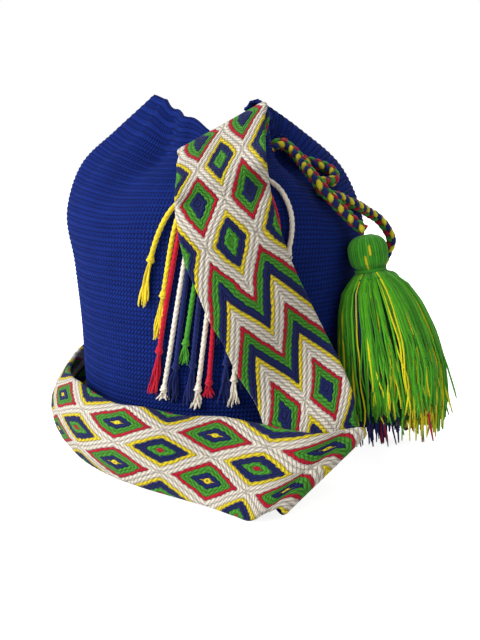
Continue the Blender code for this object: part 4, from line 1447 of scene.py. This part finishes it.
    def _head(self) -> Surface:
        """The head: yarns laid side by side from its top to the tied neck, as fine lobes with painted shade between
        them.
        """
        keys = self._rings()[:8]
        rings = spline(keys, np.linspace(0, 7, 40), np.ones(7))
        rings[:, 1:] = np.maximum(rings[:, 1:], 0.002)
        yarns = self.head_yarns
        turn = np.linspace(0, 2 * math.pi, 4 * yarns, endpoint=False)
        phase = yarns / 2 * turn + 0.9 * np.sin(rings[:, :1] * 90 + 0.6)
        depth = np.abs(np.cos(phase)) ** 0.7
        lobes = 0.955 + 0.045 * depth
        points = self._form(rings, turn, lobes)
        greens = np.array([linear(code)[:3] for code in ("#3F9A1F", "#37901D", "#4AA526")])
        number = np.floor(phase / math.pi + 0.5).astype(int) % yarns
        # Each yarn darkens toward its sides: painted shade in the grooves between the head's yarns
        tint = greens[number * 7 % 3] * (0.30 + 0.70 * depth[..., None])
        # Two yellow yarns show on the side that faces the camera
        gold = np.array(linear("#D5CD1E")[:3])
        row = np.arange(len(rings))[:, None]
        fleck = ((number == 31) & (row > 17) & (row < 31)) | ((number == 33) & (row > 11) & (row < 18))
        tint[fleck] = (gold * (0.30 + 0.70 * depth[..., None]))[fleck]
        top, down, _, _ = self._axis()
        poles = np.stack([top, top + down * HEAD_END])
        return ringed(points[None], poles[None], colours=tint[None])

    def _core(self) -> Surface:
        """The mass of yarn inside the skirt, coloured a dark green as painted shade between the outer yarns, and
        darker still as painted shade between its own lobes.
        """
        keys = self._rings()[6:]
        rings = spline(keys, np.linspace(0, len(keys) - 1, 36))
        rings[:, 1:] *= 0.84
        rings[:, 0] = rings[0, 0] + (rings[:, 0] - rings[0, 0]) * 0.88
        turn = np.linspace(0, 2 * math.pi, 96, endpoint=False)
        lobes = 0.95 + 0.06 * np.abs(np.cos(24 * turn + 3 * np.sin(rings[:, :1] * 40)))
        points = self._form(rings, turn, lobes)
        # Painted shade: the inner yarns get a darker green than the outer ones, darker again between the lobes
        green = np.array(linear("#1C5212")[:3])
        tint = np.ones(points.shape) * green * (0.35 + 0.65 * np.clip((lobes - 0.95) / 0.06, 0, 1))[..., None]
        poles = np.stack([points[0].mean(axis=0), points[-1].mean(axis=0)])
        return ringed(points[None], poles[None], colours=tint[None])

    def _skirt(self, rng: np.random.Generator) -> Surface:
        """The skirt's yarns: each falls along the outline at its own angle and depth, waving and drifting a little.

        On the front tassel the outer yarns end an eighth above the inner ones, whose colours show below them.
        """
        count = 17
        angle = rng.uniform(0, 2 * math.pi, self.yarns)
        layer = rng.choice(3, self.yarns, p=(0.56, 0.20, 0.24))
        depth = np.array((0.955, 0.93, 0.80))[layer] + np.array((0.065, 0.05, 0.14))[layer] * rng.random(self.yarns)
        middle = np.array((0.995, 0.97, 0.99) if self.striped else (0.865, 0.875, 0.985))[layer]
        reach = np.clip(rng.normal(middle, 0.018), 0.80, 1.02)
        share = np.linspace(0, 1, count)
        down = SKIRT_START + (self.length * reach[:, None] - SKIRT_START) * share
        keys = self._rings()[6:]
        wide = np.interp(down, keys[:, 0], keys[:, 1]) * depth[:, None]
        deep = np.interp(down, keys[:, 0], keys[:, 2]) * depth[:, None]
        phase = rng.uniform(0, 2 * math.pi, (3, self.yarns, 1))
        pace = rng.uniform(3.5, 8.5, (2, self.yarns, 1))
        drift = rng.normal(0, 0.10, (self.yarns, 1)) * share**1.5
        wave = 0.060 * share * np.sin(pace[0] * share + phase[0])
        wave = wave + 0.03 * share * np.sin(2.3 * pace[1] * share + phase[1])
        turn = angle[:, None] + wave + drift
        # A few yarns stray out near their ends
        stray = np.where(rng.random((self.yarns, 1)) < 0.03, 0.009, 0.0012 * rng.random((self.yarns, 1)))
        out = stray * np.clip((share - 0.62) / 0.38, 0, 1) ** 1.6
        shiver = 0.0008 * share * np.sin(pace[1] * share + phase[2])
        top, ahead, side, front = self._axis()
        paths = (
            top
            + ahead * down[..., None]
            + side * (self._bow(down) + (wide + out) * np.cos(turn))[..., None]
            + front * ((deep + 0.3 * out) * np.sin(turn) + shiver)[..., None]
        )
        radii = np.full((self.yarns, count), self.yarn_radius) * rng.uniform(0.8, 1.12, (self.yarns, 1))
        radii[:, -1] *= 0.6
        ends = self._shade(angle, layer, rng)
        tip = np.clip((share - rng.uniform(0.15, 0.6, (self.yarns, 1))) / 0.12, 0, 1)[..., None]
        tint = ends[:, :1] * (1 - tip) + ends[:, 1:] * tip
        tint = tint * rng.uniform(0.72, 1.12, (self.yarns, 1, 1))
        paths[..., 2] = np.maximum(paths[..., 2], 0.0015)
        return threads(paths, radii, 5, tint)

    def _binding(self) -> Surface:
        """The tie: two turns of yarn round the neck."""
        top, down, side, front = self._axis()
        count = 160
        share = np.linspace(0, 1, count)
        turn = 2 * math.pi * 2 * share
        radius = TASSEL_HEAD / 2 * 0.73 + BINDING_YARN / 4
        path = top + down * (TIE_START + BINDING_YARN * share)[:, None]
        path = path + spokes(side, front, turn) * radius
        first, second = carried_frames(path)
        around = np.linspace(0, 2 * math.pi, 8, endpoint=False)
        rings = path[:, None] + spokes(first, second, around) * BINDING_YARN / 2 * 0.62
        return ringed(rings[None], path[[0, -1]][None])


@dataclass(frozen=True)
class Lamp:
    """A square soft lamp.

    Args:
        name: Its name.
        place: Where it stands.
        size: Its width, in metres.
        power: Its power, in watts.
        aim: Height over the middle of the bag that it looks at.
    """

    name: str
    place: tuple[float, float, float]
    size: float
    power: float
    aim: float = 0.12


LAMPS = (
    Lamp("key", (-1.6, -0.85, 1.0), 1.1, 43.0),
    Lamp("fill", (1.4, -1.0, 0.8), 1.4, 3.0),
    Lamp("top", (-0.2, 0.1, 1.9), 1.4, 6.0, 0.1),
    Lamp("back", (0.4, 1.5, 1.0), 1.3, 12.0),
)


@dataclass
class Studio:
    """The photograph's set: a pale floor, even soft light, and the camera where it stood.

    Args:
        place: The camera's place.
        dip: How far it looks down, in degrees.
        yaw: How far it looks to the right, in degrees.
        lens: Its focal length, in millimetres.
        surround: Light of the pale surround.
        floor_reach: Half the floor's width, in metres.
    """

    place: tuple[float, float, float] = (0.0, -0.78, 0.272)
    dip: float = 11.96
    yaw: float = 1.415
    lens: float = 47.8
    surround: float = 0.40
    floor_reach: float = 6.0

    def camera(self) -> None:
        """The camera, at the photograph's place and lens."""
        data = bpy.data.cameras.new("camera")
        data.lens = self.lens
        data.sensor_width = 36.0
        made = bpy.data.objects.new("camera", data)
        made.location = self.place
        made.rotation_euler = (math.radians(90 - self.dip), 0.0, math.radians(-self.yaw))
        bpy.context.scene.collection.objects.link(made)
        bpy.context.scene.camera = made

    def light(self) -> None:
        """A large key from the upper left, weaker lamps from the right, above and behind, and a pale surround."""
        for lamp in LAMPS:
            data = bpy.data.lights.new(lamp.name, "AREA")
            data.size = lamp.size
            data.energy = lamp.power
            made = bpy.data.objects.new(lamp.name, data)
            made.location = lamp.place
            heading = np.array((0.0, 0.0, lamp.aim)) - np.array(lamp.place)
            flat = math.hypot(heading[0], heading[1])
            made.rotation_euler = (math.atan2(flat, -heading[2]), 0, math.atan2(heading[1], heading[0]) - math.pi / 2)
            bpy.context.scene.collection.objects.link(made)
        world = bpy.data.worlds.new("surround")
        world.use_nodes = True
        tree = world.node_tree
        background = tree.nodes["Background"]
        camera = add_node(tree, "ShaderNodeLightPath").outputs["Is Camera Ray"]
        tree.links.new(scaled(tree, camera, 1 - self.surround, self.surround), background.inputs["Strength"])
        background.inputs["Color"].default_value = (1, 1, 1, 1)
        bpy.context.scene.world = world

    def floor(self, look: bpy.types.Material) -> None:
        """The floor, a wide plane under the bag."""
        mesh = bpy.data.meshes.new("paper_floor")
        reach = self.floor_reach
        corners = [(-reach, -reach, 0), (reach, -reach, 0), (reach, reach, 0), (-reach, reach, 0)]
        mesh.from_pydata(corners, [], [(0, 1, 2, 3)])
        mesh.materials.append(look)
        made = bpy.data.objects.new("paper_floor", mesh)
        bpy.context.scene.collection.objects.link(made)


def main() -> None:
    """Builds the studio and every piece of the bag, and hands the pieces to the frame."""
    scene = bpy.context.scene
    scene.view_settings.view_transform = "Standard"
    studio = Studio()
    studio.camera()
    own = SpunYarn("plaited_cotton").make()
    yarn_looks = {yarn.name: SpunYarn(f"{yarn.name.lower()}_cotton_cord", yarn.value).make() for yarn in Yarn}
    tie_look = SpunYarn("green_tie_yarn", "#38901A").make()

    # The drawstring and what hangs from it
    cord, path, cord_length = Drawstring().build(own)
    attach(cord, "root")
    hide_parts("drawstring")
    hung = []
    for name, run, length, width, swing, seed, striped in (
        ("front_tassel", FRONT_RUN, FRONT_TASSEL_LENGTH, FRONT_TASSEL_WIDTH, (0.028, -0.022), 5, False),
        ("rear_tassel", REAR_RUN, REAR_TASSEL_LENGTH, REAR_TASSEL_WIDTH, (0.026, -0.010), 9, True),
    ):
        head, skirt, tie = Tassel(name, run, length, width, swing, seed, striped).build(own, tie_look)
        node = "tassel_front" if name == "front_tassel" else "tassel_rear"
        for made in (head, skirt):
            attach(made, "root")
            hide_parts(node)
        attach(tie, "root")
        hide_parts(f"{node}_binding")
        hung += [head, tie]

    # The body
    wall = BagWall()
    body = CrochetBody(wall).build(CrochetedCotton().make())
    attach(body, "root")
    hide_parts("bag_body")

    # The fringe, one piece for each strand
    for place, rows, end in (("front", FRONT_FRINGE, FRONT_END), ("back", BACK_FRINGE, BACK_END)):
        for k, (low_angle, foot, knot, yarn, *sway) in enumerate(rows):
            share = 0.02 + 0.96 * k / (len(rows) - 1)
            edge = (1 - share) * np.array(end[0]) + share * np.array(end[1])
            top = (edge[0], edge[1] - 100 * (WEAVE_RELIEF + STRAND_DIAMETER) / 4)
            name = f"{place}_fringe_cord_{k + 1:02d}"
            strand = FringeStrand(wall, name, top, low_angle, foot, knot, tuple(sway), 40 + k).build(yarn_looks[yarn])
            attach(strand, "root")
            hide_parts(f"fringe_{place}_{k + 1:02d}")

    # The strap
    faces = [
        WovenCotton("woven_diamonds", dots=False, chevrons=False).make(),
        WovenCotton("woven_chevrons", dots=False, chevrons=True).make(),
        WovenCotton("woven_dotted_diamonds", dots=True, chevrons=False).make(),
    ]
    strap, strap_length = WovenStrap(wall).build(faces)
    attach(strap, "root")
    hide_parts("strap")
    log.info("drawstring %.3f m, strap %.3f m", cord_length, strap_length)

    studio.light()
    studio.floor(PaleFloor().make())


if __name__ == "__main__":
    main()
